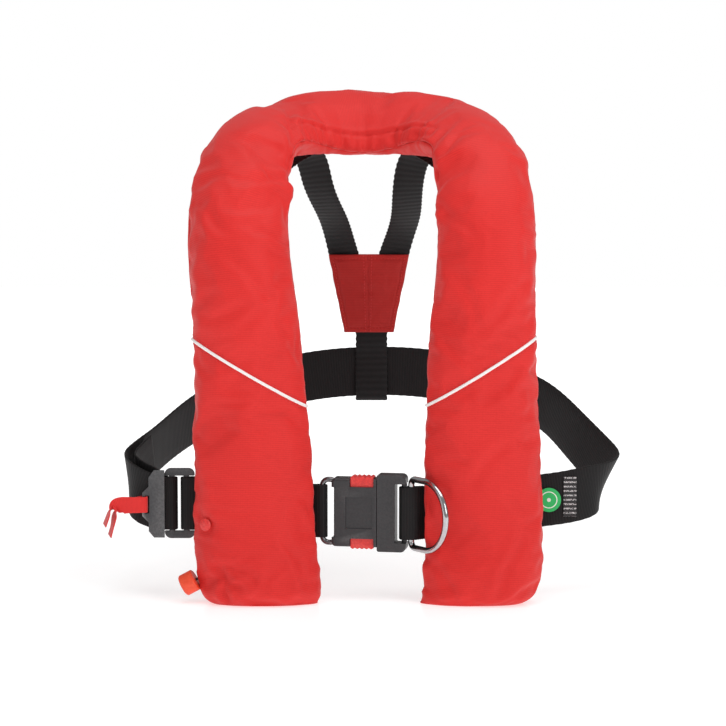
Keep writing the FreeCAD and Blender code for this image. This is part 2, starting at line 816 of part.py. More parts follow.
def d_ring_angle():
    """The least angle at which the ring lies in front of the right lobe's edge."""
    bar = to_world(D_RING_X, 0)
    room = size("d_ring_rod") / 2 + 1.5
    steepest = 20.0
    for x in range(58, 100, 2):
        front = size("chest_depth") - lobe_half_thickness("right", x)
        run = x - bar.x
        drop = bar.y - front
        distance = math.hypot(run, drop)
        angle = math.degrees(math.atan2(drop, run) + math.asin(room / distance))
        if distance < size("d_ring_length") + room:
            steepest = max(steepest, angle)
    return steepest


# ---------------------------------------------------------------- webbing


def flat_path(points, height):
    return [V(x, y, height) for x, y in points]


def world_path(points):
    return [to_world(x, y) for x, y in points]


def build_buckle_strap():
    """Webbing round the ring's outer bar, both layers towards the left."""
    thick = size("webbing_thickness")
    bar = RING_BAR_X - size("ring_pitch")
    wrap = size("ring_rod") / 2 + size("clearance") + thick / 2
    layer = (thick + size("layer_gap")) / 2
    end = -75
    points = [(end, -layer), (-68, -layer), (-60, -layer - 0.3), (-52, -3.0)]
    points += arc_points((bar, 0), wrap, -90, 90)
    points += [(-52, 3.0), (-60, layer + 0.3), (-68, layer), (end, layer)]
    up = V(0, 0, 1)
    path = world_path(points)
    shape = band(path, [up] * len(path), size("webbing_width"), thick)
    new_feature("buckle_strap", shape)


def build_tongue_loop():
    """Webbing round the tongue's bar and the D-ring's bar, sewn together on the right."""
    thick = size("webbing_thickness")
    wrap = 3.2 + size("clearance") + thick / 2
    over = size("d_ring_rod") / 2 + 0.5 + thick / 2
    layer = (thick + size("layer_gap")) / 2
    middle = 6.6
    points = [(52.8, middle - layer), (49.5, middle - layer - 2.6), (46.5, -0.6)]
    points += [(43.6, -3.4), (D_RING_X, -over), (36.5, -wrap - 0.1)]
    points += arc_points((34, 0), wrap, -90, -270)
    points += [(36.5, wrap + 0.1), (D_RING_X, over), (43.6, 5.6)]
    points += [(46.5, 6.9), (49.5, middle + layer), (52.8, middle + layer)]
    up = V(0, 0, 1)
    path = world_path(points)
    shape = band(path, [up] * len(path), size("webbing_width"), thick)
    new_feature("tongue_loop", shape)


ADJUSTER_BAR_LEFT = -180.5
ADJUSTER_DEPTH = -95


def bar_wrap():
    """Radius at which webbing goes round one of the adjuster's flat bars."""
    corner = math.hypot(size("bar_width") / 2, size("plate_thickness") / 2)
    return corner + size("clearance") + size("webbing_thickness") / 2


def waist_belt_points():
    """Route of the long belt from the buckle's right side round the back to the adjuster."""
    z = size("belt_height")
    right = size("belt_reach_right")
    left = size("belt_reach_left")
    back = size("back_depth")
    high = size("back_belt_height")
    start = to_world(53.9, 6.6)
    up = V(0, 0, 1)
    route = [
        (V(start.x, start.y, z), up),
        (V(70, behind_lobe("right", 70, 2), z + 0.5), up),
        (V(87, behind_lobe("right", 87, 2), z + 1), up),
        (V(112, behind_lobe("right", 112, 2), z + 3), up),
        (V(140, behind_lobe("right", 112, 3.5), z + 5), up),
        (V(168, behind_lobe("right", 112, 6), z + 8), V(0.02, 0, 1)),
        (V(right - 36, behind_lobe("right", 112, 7), z + 12), V(0.1, 0, 1)),
        (V(right - 10, -80, z + 19), V(0.3, 0, 0.95)),
        (V(right + 1, -62, z + 26), V(0.42, -0.1, 0.9)),
        (V(right - 2, -34, z + 35), V(0.38, -0.2, 0.9)),
        (V(right - 24, 12, z + 57), V(0.3, -0.3, 0.9)),
        (V(177, 66, z + 82), V(0.15, -0.25, 0.95)),
        (V(122, 118, high - 9), V(0.05, -0.1, 1)),
        (V(60, back - 9, high - 1), up),
        (V(BACK_CENTRE, back, high), up),
        (V(-50, back - 7, high - 4), up),
        (V(-112, 122, high - 17), V(-0.03, -0.1, 1)),
        (V(-169, 66, high - 39), V(0, -0.2, 0.97)),
        (V(-left + 17, -8, high - 63), V(0, -0.28, 0.95)),
        (V(-left + 3, -50, high - 73), V(-0.08, -0.1, 0.99)),
        (V(-left, -72, high - 79), V(-0.11, 0, 0.99)),
        (V(-left + 8, -91, high - 88), V(-0.05, 0, 1)),
    ]
    return route


def build_waist_belt():
    thick = size("webbing_thickness")
    width = size("webbing_width")
    route = waist_belt_points()
    z = size("adjuster_height")
    wrap = bar_wrap()
    bar = ADJUSTER_BAR_LEFT
    depth = ADJUSTER_DEPTH
    up = V(0, 0, 1)
    route += [(V(bar - 16, depth - wrap - 0.6, z + 2), up), (V(bar, depth - wrap, z), up)]
    points, across = sampled([p for p, a in route], [a for p, a in route], 12)
    # round the bar, then the free end doubles back inside the belt
    left = size("belt_reach_left")
    back = [V(x, y, z) for x, y in arc_points((bar, depth), wrap, -90, 90)[1:]]
    back += [
        V(bar - 10, depth + wrap + 0.3, z + 1),
        V(-left + 26, depth + wrap + 3, z + 5),
        V(-left + 13, -80, z + 13),
        V(-left + 7, -68, z + 18),
        V(-left + 10, -50, z + 24),
        V(-left + 20, -22, z + 32),
    ]
    points += back
    across += [up] * len(back)
    new_feature("waist_belt", band(points, across, width, thick))


def build_adjuster_strap():
    """Webbing sewn round the adjuster's right bar, running behind the left lobe."""
    thick = size("webbing_thickness")
    width = size("webbing_width")
    z = size("adjuster_height")
    wrap = bar_wrap()
    bar = ADJUSTER_BAR_LEFT + size("bar_pitch")
    depth = ADJUSTER_DEPTH
    plane = behind_lobe("left", 102, 7)
    layer = thick + size("layer_gap")
    lower = size("belt_height")
    path = [
        V(-124, plane - layer, z - 2),
        V(-138, plane - layer - 0.6, z - 1),
        V(-150, depth - wrap + 1.4, z),
        V(-158, depth - wrap, z),
    ]
    path += [V(x, y, z) for x, y in arc_points((bar, depth), wrap, -90, -270)]
    path += [
        V(-158, depth + wrap, z),
        V(-150, depth + wrap + 0.9, z),
        V(-138, plane - 0.4, z - 1),
        V(-124, plane, z - 2),
        V(-100, plane, z - 4),
        V(-60, plane, lower),
    ]
    shape = band(path, [V(0, 0, 1)] * len(path), width, thick)
    new_feature("adjuster_strap", shape)


def under_collar(station, gap):
    back = station.half_thickness + gap
    return station.centre - station.outward * back


def yoke_depth(z):
    """Depth of the yoke's middle surface at height z."""
    low = size("back_belt_height") + 41
    share = (z - low) / size("patch_height")
    return size("back_depth") - 8 - 8 * share


def build_shoulder_straps():
    thick = size("strap_thickness")
    gap = 6.4 + thick / 2
    patch_low = size("back_belt_height") + 41
    bottom = patch_low + 12
    patch_top = patch_low + size("patch_height")
    for side, label in ((-1, "shoulder_strap_left"), (1, "shoulder_strap_right")):
        layer = -1.2 if side < 0 else 1.2
        order = STATIONS if side < 0 else list(reversed(STATIONS))
        behind = order[: MIDDLE]
        x_low = BACK_CENTRE + side * 8
        x_mid = BACK_CENTRE + side * 15
        x_near_top = BACK_CENTRE + side * 20.2
        x_top = BACK_CENTRE + side * 25.5
        collar = under_collar(behind[-1], gap)
        rise = collar.z - patch_top
        back_top = yoke_depth(patch_top)
        pull = back_top - collar.y
        route = [
            (V(x_low, yoke_depth(bottom) + layer, bottom), V(1, 0, 0)),
            (V(x_mid, yoke_depth(patch_low + 40) + layer, patch_low + 40), V(1, 0, side * 0.15)),
            (V(x_near_top, yoke_depth(patch_top - 20) + 0.2 * layer, patch_top - 20), V(1, 0, side * 0.18)),
            (V(x_top, back_top - 0.3, patch_top), V(1, 0, side * 0.2)),
            (
                V(x_top + side * 11, back_top - 0.36 * pull, patch_top + 0.38 * rise),
                V(1, 0, side * 0.15),
            ),
            (
                V(side * 45, back_top - 0.76 * pull, patch_top + 0.74 * rise),
                V(1, 0, side * 0.1),
            ),
            (collar, V(1, 0, 0)),
        ]
        shoulder = list(reversed(behind[LEFT_COUNT - 1 : -1]))
        for station in shoulder:
            route.append((under_collar(station, gap), station.across * -side))
        for index in (7, 6, 5):
            route.append((under_collar(behind[index], gap), V(1, 0, 0)))
        end = under_collar(behind[5], gap)
        route.append((V(end.x, end.y, size("belt_height") + 52), V(1, 0, 0)))
        across = [a if a.x > 0 else a * -1 for p, a in route]
        points, across = sampled([p for p, a in route], across, 12)
        new_feature(label, band(points, across, size("strap_width"), thick))


def build_yoke():
    """Two trapezoid layers of cover fabric with the straps between them."""
    thick = size("patch_thickness")
    low = size("back_belt_height") + 41
    top = low + size("patch_height")
    gap = size("strap_thickness") + 1.5
    top_half, low_half = 41, 25
    for label, y in (("yoke_patch_front", -gap - thick), ("yoke_patch_back", gap)):
        wires = []
        for z, half in ((low, low_half), (top, top_half)):
            depth = yoke_depth(z) + y
            wires.append(
                polygon(
                    [
                        V(BACK_CENTRE - half, depth, z),
                        V(BACK_CENTRE + half, depth, z),
                        V(BACK_CENTRE + half, depth + thick, z),
                        V(BACK_CENTRE - half, depth + thick, z),
                    ]
                )
            )
        new_feature(label, Part.makeLoft(wires, True, True))


def build_back_loop():
    """The strap that goes from the yoke round the back of the waist belt."""
    thick = size("strap_thickness")
    high = size("back_belt_height")
    half = size("webbing_width") / 2
    away = size("webbing_thickness") / 2 + size("layer_gap") + 1.5 + thick / 2
    back = size("back_depth")
    x = BACK_CENTRE + 2.7
    top = high + half
    foot = high - half - 0.5
    path = [
        V(x, yoke_depth(top + 23), top + 23),
        V(x, yoke_depth(top + 15), top + 15),
        V(x, back - away - 3, top + 6),
        V(x, back - away - 0.5, top - 2),
        V(x, back - away, high),
        V(x, back - away, foot),
        V(x, back - away * 0.7, foot - away * 0.7),
        V(x, back, foot - away),
        V(x, back + away * 0.7, foot - away * 0.7),
        V(x, back + away, foot),
        V(x, back + away, high),
        V(x, back + away, top + 4),
    ]
    shape = band(path, [V(1, 0, 0)] * len(path), size("strap_width") + 2, thick)
    new_feature("back_strap_loop", shape)


def build_keepers():
    """Wide fabric loops that hold the belt behind each lobe."""
    thick = 1.2
    half = size("webbing_width") / 2 + 5
    keepers = ((-1, "belt_keeper_left", 112, 9), (1, "belt_keeper_right", 104, 6.6))
    for side, label, x, deep in keepers:
        body = new_body(label)
        name = "left" if side < 0 else "right"
        reach = behind_lobe(name, 102 if side < 0 else 112, deep + 2.2)
        stand = size("chest_depth") + lobe_half_thickness(name, x) + 0.9
        wide = 36
        outline = [
            (f"{stand + 2.2}", f"{half} + 8"),
            (f"{reach}", f"{half}"),
            (f"{reach}", f"-{half}"),
            (f"{stand + 2.2}", f"-{half} - 8"),
            (f"{stand + 1.0}", f"-{half} - 8"),
            (f"{stand + 1.0}", f"-{half} - 6.4"),
            (f"{reach - thick}", f"-{half} + 1"),
            (f"{reach - thick}", f"{half} - 1"),
            (f"{stand + 1.0}", f"{half} + 6.4"),
            (f"{stand + 1.0}", f"{half} + 8"),
        ]
        sketch = sketch_on(body, "YZ_Plane", f"{-wide / 2}", [outline])
        pad(body, sketch, f"{wide}")
        place(body, (side * x, 0, size("belt_height") + 3))


# ---------------------------------------------------------------- adjuster


def build_adjuster():
    height = size("adjuster_height")
    half = "(dims.webbing_width / 2 + 8.5)"
    slot_half = "(dims.webbing_width / 2 + 1.2)"
    pitch = "dims.bar_pitch"
    frame = new_body("adjuster_frame")
    outline = rectangle("-7", f"-{half}", f"{pitch} + 8", half)
    pad(
        frame,
        sketch_on(frame, "XZ_Plane", "-dims.plate_thickness / 2", [outline]),
        "dims.plate_thickness",
    )
    round_edges(frame, "6", outer_corner(V(0, 1, 0), 5, 20))
    depth = "dims.plate_thickness / 2 + 1"
    bar = "dims.bar_width / 2"
    slots = (
        ("-7 - 1", f"-{bar}"),
        (bar, f"{pitch} - {bar}"),
        (f"{pitch} + {bar}", f"{pitch} + 8 + 1"),
    )
    for left, right in slots:
        cut = rectangle(left, f"-{slot_half}", right, slot_half)
        pocket(frame, sketch_on(frame, "XZ_Plane", depth, [cut]), "dims.plate_thickness + 2")
    place(frame, (ADJUSTER_BAR_LEFT, ADJUSTER_DEPTH, height))

    plate = new_body("adjuster_lock_plate")
    nose = 11
    outline = [
        ("0", f"-{half} + 2"),
        ("0", f"{half} - 1"),
        ("-10", f"{half} - 1"),
        ("-15", f"{half} - 8"),
        ("-15", "17"),
        ("-21", f"{nose}"),
        ("-21", f"-{nose}"),
        ("-15", "-17"),
        ("-15", f"-{half} + 8"),
        ("-10", f"-{half} + 2"),
    ]
    pad(
        plate,
        sketch_on(plate, "XZ_Plane", "0", [outline]),
        "dims.lock_plate_thickness",
    )
    tab_half = "(dims.pull_tab_width / 2 + 1)"
    slot = rectangle("-18.4", f"-{tab_half}", "-14.4", tab_half)
    hole = sketch_on(plate, "XZ_Plane", "dims.lock_plate_thickness + 1", [slot])
    pocket(plate, hole, "dims.lock_plate_thickness + 2")
    # hollow edge along which the plate tilts
    hinge_hollow = sketch_on(plate, "XY_Plane", half, circles=[("0", "0", "1.2")])
    pocket(plate, hinge_hollow, f"2 * {half}")
    place(plate, (ADJUSTER_BAR_LEFT - 6.6, ADJUSTER_DEPTH - 7, height))

    # ribbon threaded through the nose's slot
    hinge = V(ADJUSTER_BAR_LEFT - 6.6, ADJUSTER_DEPTH - 7, height)
    thick = 1.2
    back, front = 1.0 + thick / 2, -size("lock_plate_thickness") - 1.0 - thick / 2
    offsets = [
        (-45, front + 0.9, -9),
        (-38, front + 0.7, -1.5),
        (-30, front + 0.5, -0.6),
        (-23, front, 0),
        (-19, front, 0),
        (-16.9, front + 0.9, 0),
        (-16.4, -1.5, 0),
        (-17.2, back - 0.4, 0),
        (-19.5, back, 0),
        (-22.8, back, 0),
        (-24.6, back - 2, 0),
        (-30, front + 2.6, -1.2),
        (-37.5, front + 2.8, -4.5),
        (-42, front + 2.8, -13),
        (-44, front + 2.8, -24),
    ]
    path = [hinge + V(x, y, z) for x, y, z in offsets]
    across = [V(0, 0, 1)] * len(path)
    across[0] = V(0.6, 0, 0.8)
    across[1] = V(0.3, 0, 0.95)
    across[-3] = V(0.35, 0, 0.93)
    across[-2] = V(0.75, 0, 0.66)
    across[-1] = V(0.95, 0, 0.3)
    new_feature("adjuster_pull_tab", band(path, across, size("pull_tab_width"), thick))


# ---------------------------------------------------------------- inflator in the left lobe

INFLATOR_X = -98
INFLATOR_Y = size("chest_depth") - 3
INFLATOR_FOOT = 16
LEVER_PIVOT = V(-114, INFLATOR_Y, 62)
LEVER_TIP = V(-128, INFLATOR_Y, 38)
KNOB_CENTRE = V(-163, size("chest_depth"), 19)


def build_inflator():
    body = new_body("inflator_body")
    half_x = "(dims.inflator_width / 2)"
    half_y = "(dims.inflator_depth / 2)"
    outline = rectangle(f"-{half_x}", f"-{half_y}", half_x, half_y)
    pad(body, sketch_on(body, "XY_Plane", "0", [outline]), "dims.inflator_height")
    round_edges(body, "5", lambda edge: runs_along(edge, V(0, 0, 1)))
    neck = [("0", "0", "dims.cylinder_neck_radius + dims.clearance")]
    pocket(body, sketch_on(body, "XY_Plane", "dims.inflator_height", circles=neck), "15")
    pin_bore = [("0", "0", "4.5")]
    pocket(body, sketch_on(body, "XY_Plane", "dims.inflator_height - 15", circles=pin_bore), "26")
    # seat of the water sensing cartridge on the right
    seat = [("0", "18", "dims.cartridge_radius + dims.clearance")]
    pocket(body, sketch_on(body, "YZ_Plane", f"{half_x}", circles=seat), "13")
    # slot of the lever and the holes of its pin
    slot = rectangle(f"-{half_x} - 1", "28", "-9.6", "56")
    pocket(body, sketch_on(body, "XZ_Plane", "3", [slot]), "6")
    pivot_x = f"{LEVER_PIVOT.x - INFLATOR_X}"
    pivot_z = f"{LEVER_PIVOT.z - INFLATOR_FOOT}"
    hole = [(pivot_x, pivot_z, "dims.lever_pin_radius + 0.05")]
    pocket(body, sketch_on(body, "XZ_Plane", f"{half_y} + 1", circles=hole), "dims.inflator_depth + 2")
    place(body, (INFLATOR_X, INFLATOR_Y, INFLATOR_FOOT))

    stem = new_body("manifold_stem")
    pad(stem, sketch_on(stem, "XZ_Plane", "0", circles=[("0", "0", "8")]), "2.2")
    place(stem, (INFLATOR_X, INFLATOR_Y + size("inflator_depth") / 2 + 2.5, INFLATOR_FOOT + 20))


def build_cylinder():
    body = new_body("gas_cylinder")
    neck = "dims.cylinder_neck_radius"
    radius = "dims.cylinder_radius"
    length = "dims.cylinder_length"
    wall = "dims.cylinder_wall"
    outline = [
        ("0", "0"),
        (neck, "0"),
        (neck, "17"),
        (f"{radius} - 2", "30"),
        (radius, "36"),
        (radius, f"{length} - 14"),
        (f"{radius} - 5", f"{length} - 4"),
        (f"{radius} - 11", length),
        ("0", length),
        ("0", f"{length} - {wall}"),
        (f"{radius} - 11.6", f"{length} - {wall}"),
        (f"{radius} - 6.6", f"{length} - 5.6"),
        (f"{radius} - {wall}", f"{length} - 14.6"),
        (f"{radius} - {wall}", "36.6"),
        (f"{radius} - {wall} - 2", "31.4"),
        (f"{neck} - {wall}", "18"),
        (f"{neck} - {wall}", wall),
        ("0", wall),
    ]
    revolve(body, sketch_on(body, "XZ_Plane", outlines=[outline]))
    foot = INFLATOR_FOOT + size("inflator_height") - 14.5
    place(body, (INFLATOR_X, INFLATOR_Y, foot))


def build_cartridge():
    cartridge = new_body("water_cartridge")
    radius = "dims.cartridge_radius"
    pad(cartridge, sketch_on(cartridge, "YZ_Plane", "0", circles=[("0", "0", radius)]), "14")
    core = [("0", "0", "2")]
    pocket(cartridge, sketch_on(cartridge, "YZ_Plane", "14", circles=core), "6")
    x = INFLATOR_X + size("inflator_width") / 2
    place(cartridge, (x - 12.6, INFLATOR_Y, INFLATOR_FOOT + 18))
    cap = new_body("cartridge_cap")
    pad(cap, sketch_on(cap, "YZ_Plane", "0", circles=[("0", "0", "dims.cap_radius")]), "9")
    hollow = sketch_on(cap, "YZ_Plane", "4", circles=[("0", "0", f"{radius} + 0.5")])
    pocket(cap, hollow, "4")
    window = sketch_on(cap, "YZ_Plane", "9", circles=[("0", "0", "4")])
    pocket(cap, window, "3")
    place(cap, (x + 0.4, INFLATOR_Y, INFLATOR_FOOT + 18))


def build_lever():
    lever = new_body("manual_lever")
    pin = "dims.lever_pin_radius"
    arm = LEVER_TIP - LEVER_PIVOT
    unit = arm.normalize()
    side = V(-unit.z, 0, unit.x)
    length = (LEVER_TIP - LEVER_PIVOT).Length
    corners = []
    for along, out in ((-4.5, 4), (length + 4, 3.2), (length + 4, -3.2), (-4.5, -4)):
        corner = unit * along + side * out
        corners.append((f"{corner.x:.4f}", f"{corner.z:.4f}"))
    pad(lever, sketch_on(lever, "XZ_Plane", "-2.5", [corners]), "5")
    hole = [("0", "0", f"{pin} + 0.2")]
    pocket(lever, sketch_on(lever, "XZ_Plane", "3.5", circles=hole), "7")
    place(lever, LEVER_PIVOT)
    pivot = new_body("lever_pin")
    pad(pivot, sketch_on(pivot, "XZ_Plane", "-14", circles=[("0", "0", pin)]), "28")
    place(pivot, LEVER_PIVOT)


def build_firing_pin():
    pin = new_body("firing_pin")
    profile = [
        ("0", "0"),
        ("4.1", "0"),
        ("4.1", "2.5"),
        ("1.7", "2.5"),
        ("1.7", "17"),
        ("0", "20"),
    ]
    revolve(pin, sketch_on(pin, "XZ_Plane", outlines=[profile]))
    foot = INFLATOR_FOOT + size("inflator_height") - 15 - 25.8
    place(pin, (INFLATOR_X, INFLATOR_Y, foot))
    spring_foot = V(INFLATOR_X, INFLATOR_Y, foot + 2.7)
    new_feature("firing_spring", coil_spring(spring_foot, V(0, 0, 1), 3.2, 0.4, 22.6, 7))


def build_knob():
    axis = (KNOB_CENTRE - LEVER_TIP).normalize()
    turn = FreeCAD.Rotation(V(0, 0, 1), axis)
    knob = new_body("pull_knob")
    radius = "dims.knob_radius"
    length = "dims.knob_length"
    profile = [
        ("1.6", "0"),
        (f"{radius} - 0.8", "0"),
        (radius, "0.8"),
        (radius, f"{length} - 1.2"),
        (f"{radius} - 1.2", length),
        ("0", length),
        ("0", f"{length} - 3"),
        ("1.6", f"{length} - 3"),
    ]
    revolve(knob, sketch_on(knob, "XZ_Plane", outlines=[profile]))
    inner_end = KNOB_CENTRE - axis * (size("knob_length") / 2)
    place(knob, inner_end, turn)
    start = LEVER_TIP + axis * 5.4 + V(0, 0, -0.5)
    end = inner_end + axis * (size("knob_length") - 4)
    cord = Part.makeCylinder(size("cord_radius"), (end - start).Length, start, end - start)
    new_feature("pull_cord", cord)


# ---------------------------------------------------------------- oral tube in the right lobe

TUBE_X = 122
TUBE_FOOT = 120


def build_oral_tube():
    y = size("chest_depth") - 0.2 * size("lobe_thickness")
    top = TUBE_FOOT + size("tube_length")
    tube = new_body("oral_tube")
    ring = [("0", "0", "dims.tube_radius"), ("0", "0", "dims.tube_bore")]
    pad(tube, sketch_on(tube, "XY_Plane", "0", circles=ring), "dims.tube_length")
    place(tube, (TUBE_X, y, TUBE_FOOT))

    poppet = new_body("oral_valve_poppet")
    profile = [("0", "0"), ("1.2", "0"), ("1.2", "12"), ("3.6", "14"), ("3.6", "16"), ("0", "16")]
    revolve(poppet, sketch_on(poppet, "XZ_Plane", outlines=[profile]))
    place(poppet, (TUBE_X, y, top - 16))

    seat = new_body("oral_valve_seat")
    rings = [("0", "0", "dims.tube_bore - 0.05"), ("0", "0", "1.5")]
    pad(seat, sketch_on(seat, "XY_Plane", "0", circles=rings), "2")
    place(seat, (TUBE_X, y, top - 14))
    new_feature(
        "oral_valve_spring", coil_spring(V(TUBE_X, y, top - 11.8), V(0, 0, 1), 2.2, 0.3, 8.0, 5)
    )

    cap = new_body("oral_tube_cap")
    profile = [
        ("dims.tube_radius + 0.4", "-10"),
        ("dims.tube_radius + 1.8", "-10"),
        ("dims.tube_radius + 1.8", "2.5"),
        ("dims.tube_radius + 0.8", "3.5"),
        ("0", "3.5"),
        ("0", "1"),
        ("dims.tube_radius + 0.4", "1"),
    ]
    revolve(cap, sketch_on(cap, "XZ_Plane", outlines=[profile]))
    place(cap, (TUBE_X, y, top))


def build_whistle():
    body = new_body("whistle")
    outline = rectangle("-7", "-24", "7", "20")
    pad(body, sketch_on(body, "XZ_Plane", "-4", [outline]), "8")
    round_edges(body, "2", lambda edge: runs_along(edge, V(0, 0, 1)))
    pocket(body, sketch_on(body, "XY_Plane", "20", [rectangle("-4.5", "-2", "4.5", "2")]), "30")
    pocket(body, sketch_on(body, "XZ_Plane", "5", [rectangle("-4.5", "4", "4.5", "8")]), "5")
    place(body, (98, size("chest_depth") - 0.27 * size("lobe_thickness"), size("lobe_height") * 3 / 7))


# ---------------------------------------------------------------- marks on the belt


def build_belt_marks():
    """Printed label and round seal on the front of the belt, right of the right lobe."""
    z = size("belt_height")
    away = size("webbing_thickness") / 2 + 0.45
    right = size("belt_reach_right")
    depth = behind_lobe("right", 112, 6) - away
    seal = new_body("approval_seal")
    pad(seal, sketch_on(seal, "XZ_Plane", "0", circles=[("0", "0", "11.5")]), "0.6")
    place(seal, (176, depth - 0.6, z + 9))
    label = new_body("belt_label")
    outline = rectangle("0", "-19", "12", "19")
    pad(label, sketch_on(label, "XZ_Plane", "0", [outline]), "0.4")
    place(label, (190, depth - 0.3, z + 12))


# ---------------------------------------------------------------- build, check and write

build_cover()
build_press_stud()
build_housing()
build_button("release_button_top", 1)
build_button("release_button_bottom", -1)
build_button_spring("button_spring_top", 1)
build_button_spring("button_spring_bottom", -1)
build_tongue()
build_rings()
build_buckle_strap()
build_tongue_loop()
build_waist_belt()
build_adjuster_strap()
build_shoulder_straps()
build_yoke()
build_back_loop()
build_keepers()
build_adjuster()
build_inflator()
build_cylinder()
build_cartridge()
build_lever()
build_firing_pin()
build_knob()
build_oral_tube()
build_whistle()
build_belt_marks()
doc.recompute()

for item in doc.Objects:
    if "Invalid" in item.State or "Error" in item.State:
        raise RuntimeError(f"{item.Label} could not be computed: {item.State}")
for part in sub_parts:
    if part.Shape.isNull() or not part.Shape.isValid():
        raise RuntimeError(f"{part.Label} has no valid shape")

os.makedirs("parts", exist_ok=True)
whole = FreeCAD.BoundBox()
for part in sub_parts:
    part.Shape.exportStep(f"parts/{part.Label}.step")
    whole.add(part.Shape.BoundBox)
print(f"{len(sub_parts)} sub-parts")
print(f"x {whole.XMin:.1f} to {whole.XMax:.1f}")
print(f"y {whole.YMin:.1f} to {whole.YMax:.1f}")
print(f"z {whole.ZMin:.1f} to {whole.ZMax:.1f}")
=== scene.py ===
import json
import math

import bmesh
import bpy
import numpy as np
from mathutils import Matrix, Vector, noise

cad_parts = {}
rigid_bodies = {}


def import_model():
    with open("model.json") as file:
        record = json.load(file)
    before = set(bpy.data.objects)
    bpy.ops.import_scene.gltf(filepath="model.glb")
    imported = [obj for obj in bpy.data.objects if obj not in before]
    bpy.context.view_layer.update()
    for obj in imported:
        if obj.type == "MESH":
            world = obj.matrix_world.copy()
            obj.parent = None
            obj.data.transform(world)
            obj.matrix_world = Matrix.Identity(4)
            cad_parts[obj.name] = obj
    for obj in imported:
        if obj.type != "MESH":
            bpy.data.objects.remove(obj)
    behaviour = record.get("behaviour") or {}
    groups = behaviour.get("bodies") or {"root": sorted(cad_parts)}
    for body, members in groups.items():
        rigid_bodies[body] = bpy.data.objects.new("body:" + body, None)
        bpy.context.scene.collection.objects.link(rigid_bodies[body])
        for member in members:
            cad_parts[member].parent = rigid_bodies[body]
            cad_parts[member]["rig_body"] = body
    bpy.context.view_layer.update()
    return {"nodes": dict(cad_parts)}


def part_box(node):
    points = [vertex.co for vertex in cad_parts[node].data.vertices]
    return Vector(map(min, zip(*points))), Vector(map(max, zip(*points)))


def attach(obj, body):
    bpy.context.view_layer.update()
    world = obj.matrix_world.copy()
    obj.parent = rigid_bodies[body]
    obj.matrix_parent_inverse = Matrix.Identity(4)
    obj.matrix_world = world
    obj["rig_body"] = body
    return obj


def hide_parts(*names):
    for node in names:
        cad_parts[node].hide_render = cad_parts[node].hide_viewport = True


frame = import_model()
nodes = frame["nodes"]
mm = 0.001
root = "jacket"


# small helpers for meshes

def showMesh(name, vertices, faces, material=None, uvs=None):
    mesh = bpy.data.meshes.new(name)
    mesh.from_pydata([tuple(v) for v in vertices], [], faces)
    mesh.polygons.foreach_set("use_smooth", [True] * len(mesh.polygons))
    if uvs is not None:
        layer = mesh.uv_layers.new(name="length")
        flat = [uvs[i] for face in faces for i in face] if len(uvs) == len(vertices) else uvs
        layer.data.foreach_set("uv", np.array(flat, float).ravel())
    piece = bpy.data.objects.new(name, mesh)
    bpy.context.scene.collection.objects.link(piece)
    if material:
        mesh.materials.append(material)
    return piece


def applyModifiers(piece):
    depsgraph = bpy.context.evaluated_depsgraph_get()
    depsgraph.update()
    mesh = bpy.data.meshes.new_from_object(piece.evaluated_get(depsgraph))
    piece.modifiers.clear()
    old = piece.data
    piece.data = mesh
    if old.users == 0:
        bpy.data.meshes.remove(old)
    return piece


def naturalSpline(knots, values, at):
    # smooth curve through values at the knots, natural ends
    knots, values, at = np.array(knots, float), np.array(values, float), np.array(at, float)
    if values.ndim == 1:
        return naturalSpline(knots, values[:, None], at)[:, 0]
    n = len(knots)
    h = np.diff(knots)
    a = np.zeros((n, n))
    b = np.zeros((n, values.shape[1]))
    a[0, 0] = a[-1, -1] = 1
    for i in range(1, n - 1):
        a[i, i - 1], a[i, i], a[i, i + 1] = h[i - 1], 2 * (h[i - 1] + h[i]), h[i]
        b[i] = 6 * ((values[i + 1] - values[i]) / h[i] - (values[i] - values[i - 1]) / h[i - 1])
    m = np.linalg.solve(a, b)
    k = np.clip(np.searchsorted(knots, at) - 1, 0, n - 2)
    x0, x1, hk = knots[k], knots[k + 1], h[k]
    u, w = (x1 - at)[:, None], (at - x0)[:, None]
    hk = hk[:, None]
    bend = (m[k] * u**3 + m[k + 1] * w**3) / (6 * hk)
    return bend + (values[k] / hk - m[k] * hk / 6) * u + (values[k + 1] / hk - m[k + 1] * hk / 6) * w


def unit(rows):
    return rows / np.maximum(np.linalg.norm(rows, axis=-1, keepdims=True), 1e-12)


def smoothStep(low, high, x):
    t = np.clip((x - low) / (high - low), 0, 1)
    return t * t * (3 - 2 * t)


# materials

def startMaterial(name, colour, roughness, metallic=0.0):
    material = bpy.data.materials.new(name)
    material.use_nodes = True
    shader = material.node_tree.nodes["Principled BSDF"]
    shader.inputs["Base Color"].default_value = (*colour, 1)
    shader.inputs["Roughness"].default_value = roughness
    shader.inputs["Metallic"].default_value = metallic
    return material, material.node_tree.nodes, material.node_tree.links, shader


def startGroup(name, inputs, outputs):
    group = bpy.data.node_groups.new(name, "ShaderNodeTree")
    for label, kind, value in inputs:
        socket = group.interface.new_socket(name=label, in_out="INPUT", socket_type=kind)
        if value is not None:
            socket.default_value = value
    for label, kind in outputs:
        group.interface.new_socket(name=label, in_out="OUTPUT", socket_type=kind)
    return group, group.nodes.new("NodeGroupInput"), group.nodes.new("NodeGroupOutput")


def mathNode(tree, operation, first, second=None, clamp=False):
    node = tree.nodes.new("ShaderNodeMath")
    node.operation = operation
    node.use_clamp = clamp
    for socket, value in zip(node.inputs, (first, second)):
        if value is None:
            continue
        if hasattr(value, "links"):
            tree.links.new(value, socket)
        else:
            socket.default_value = value
    return node.outputs[0]


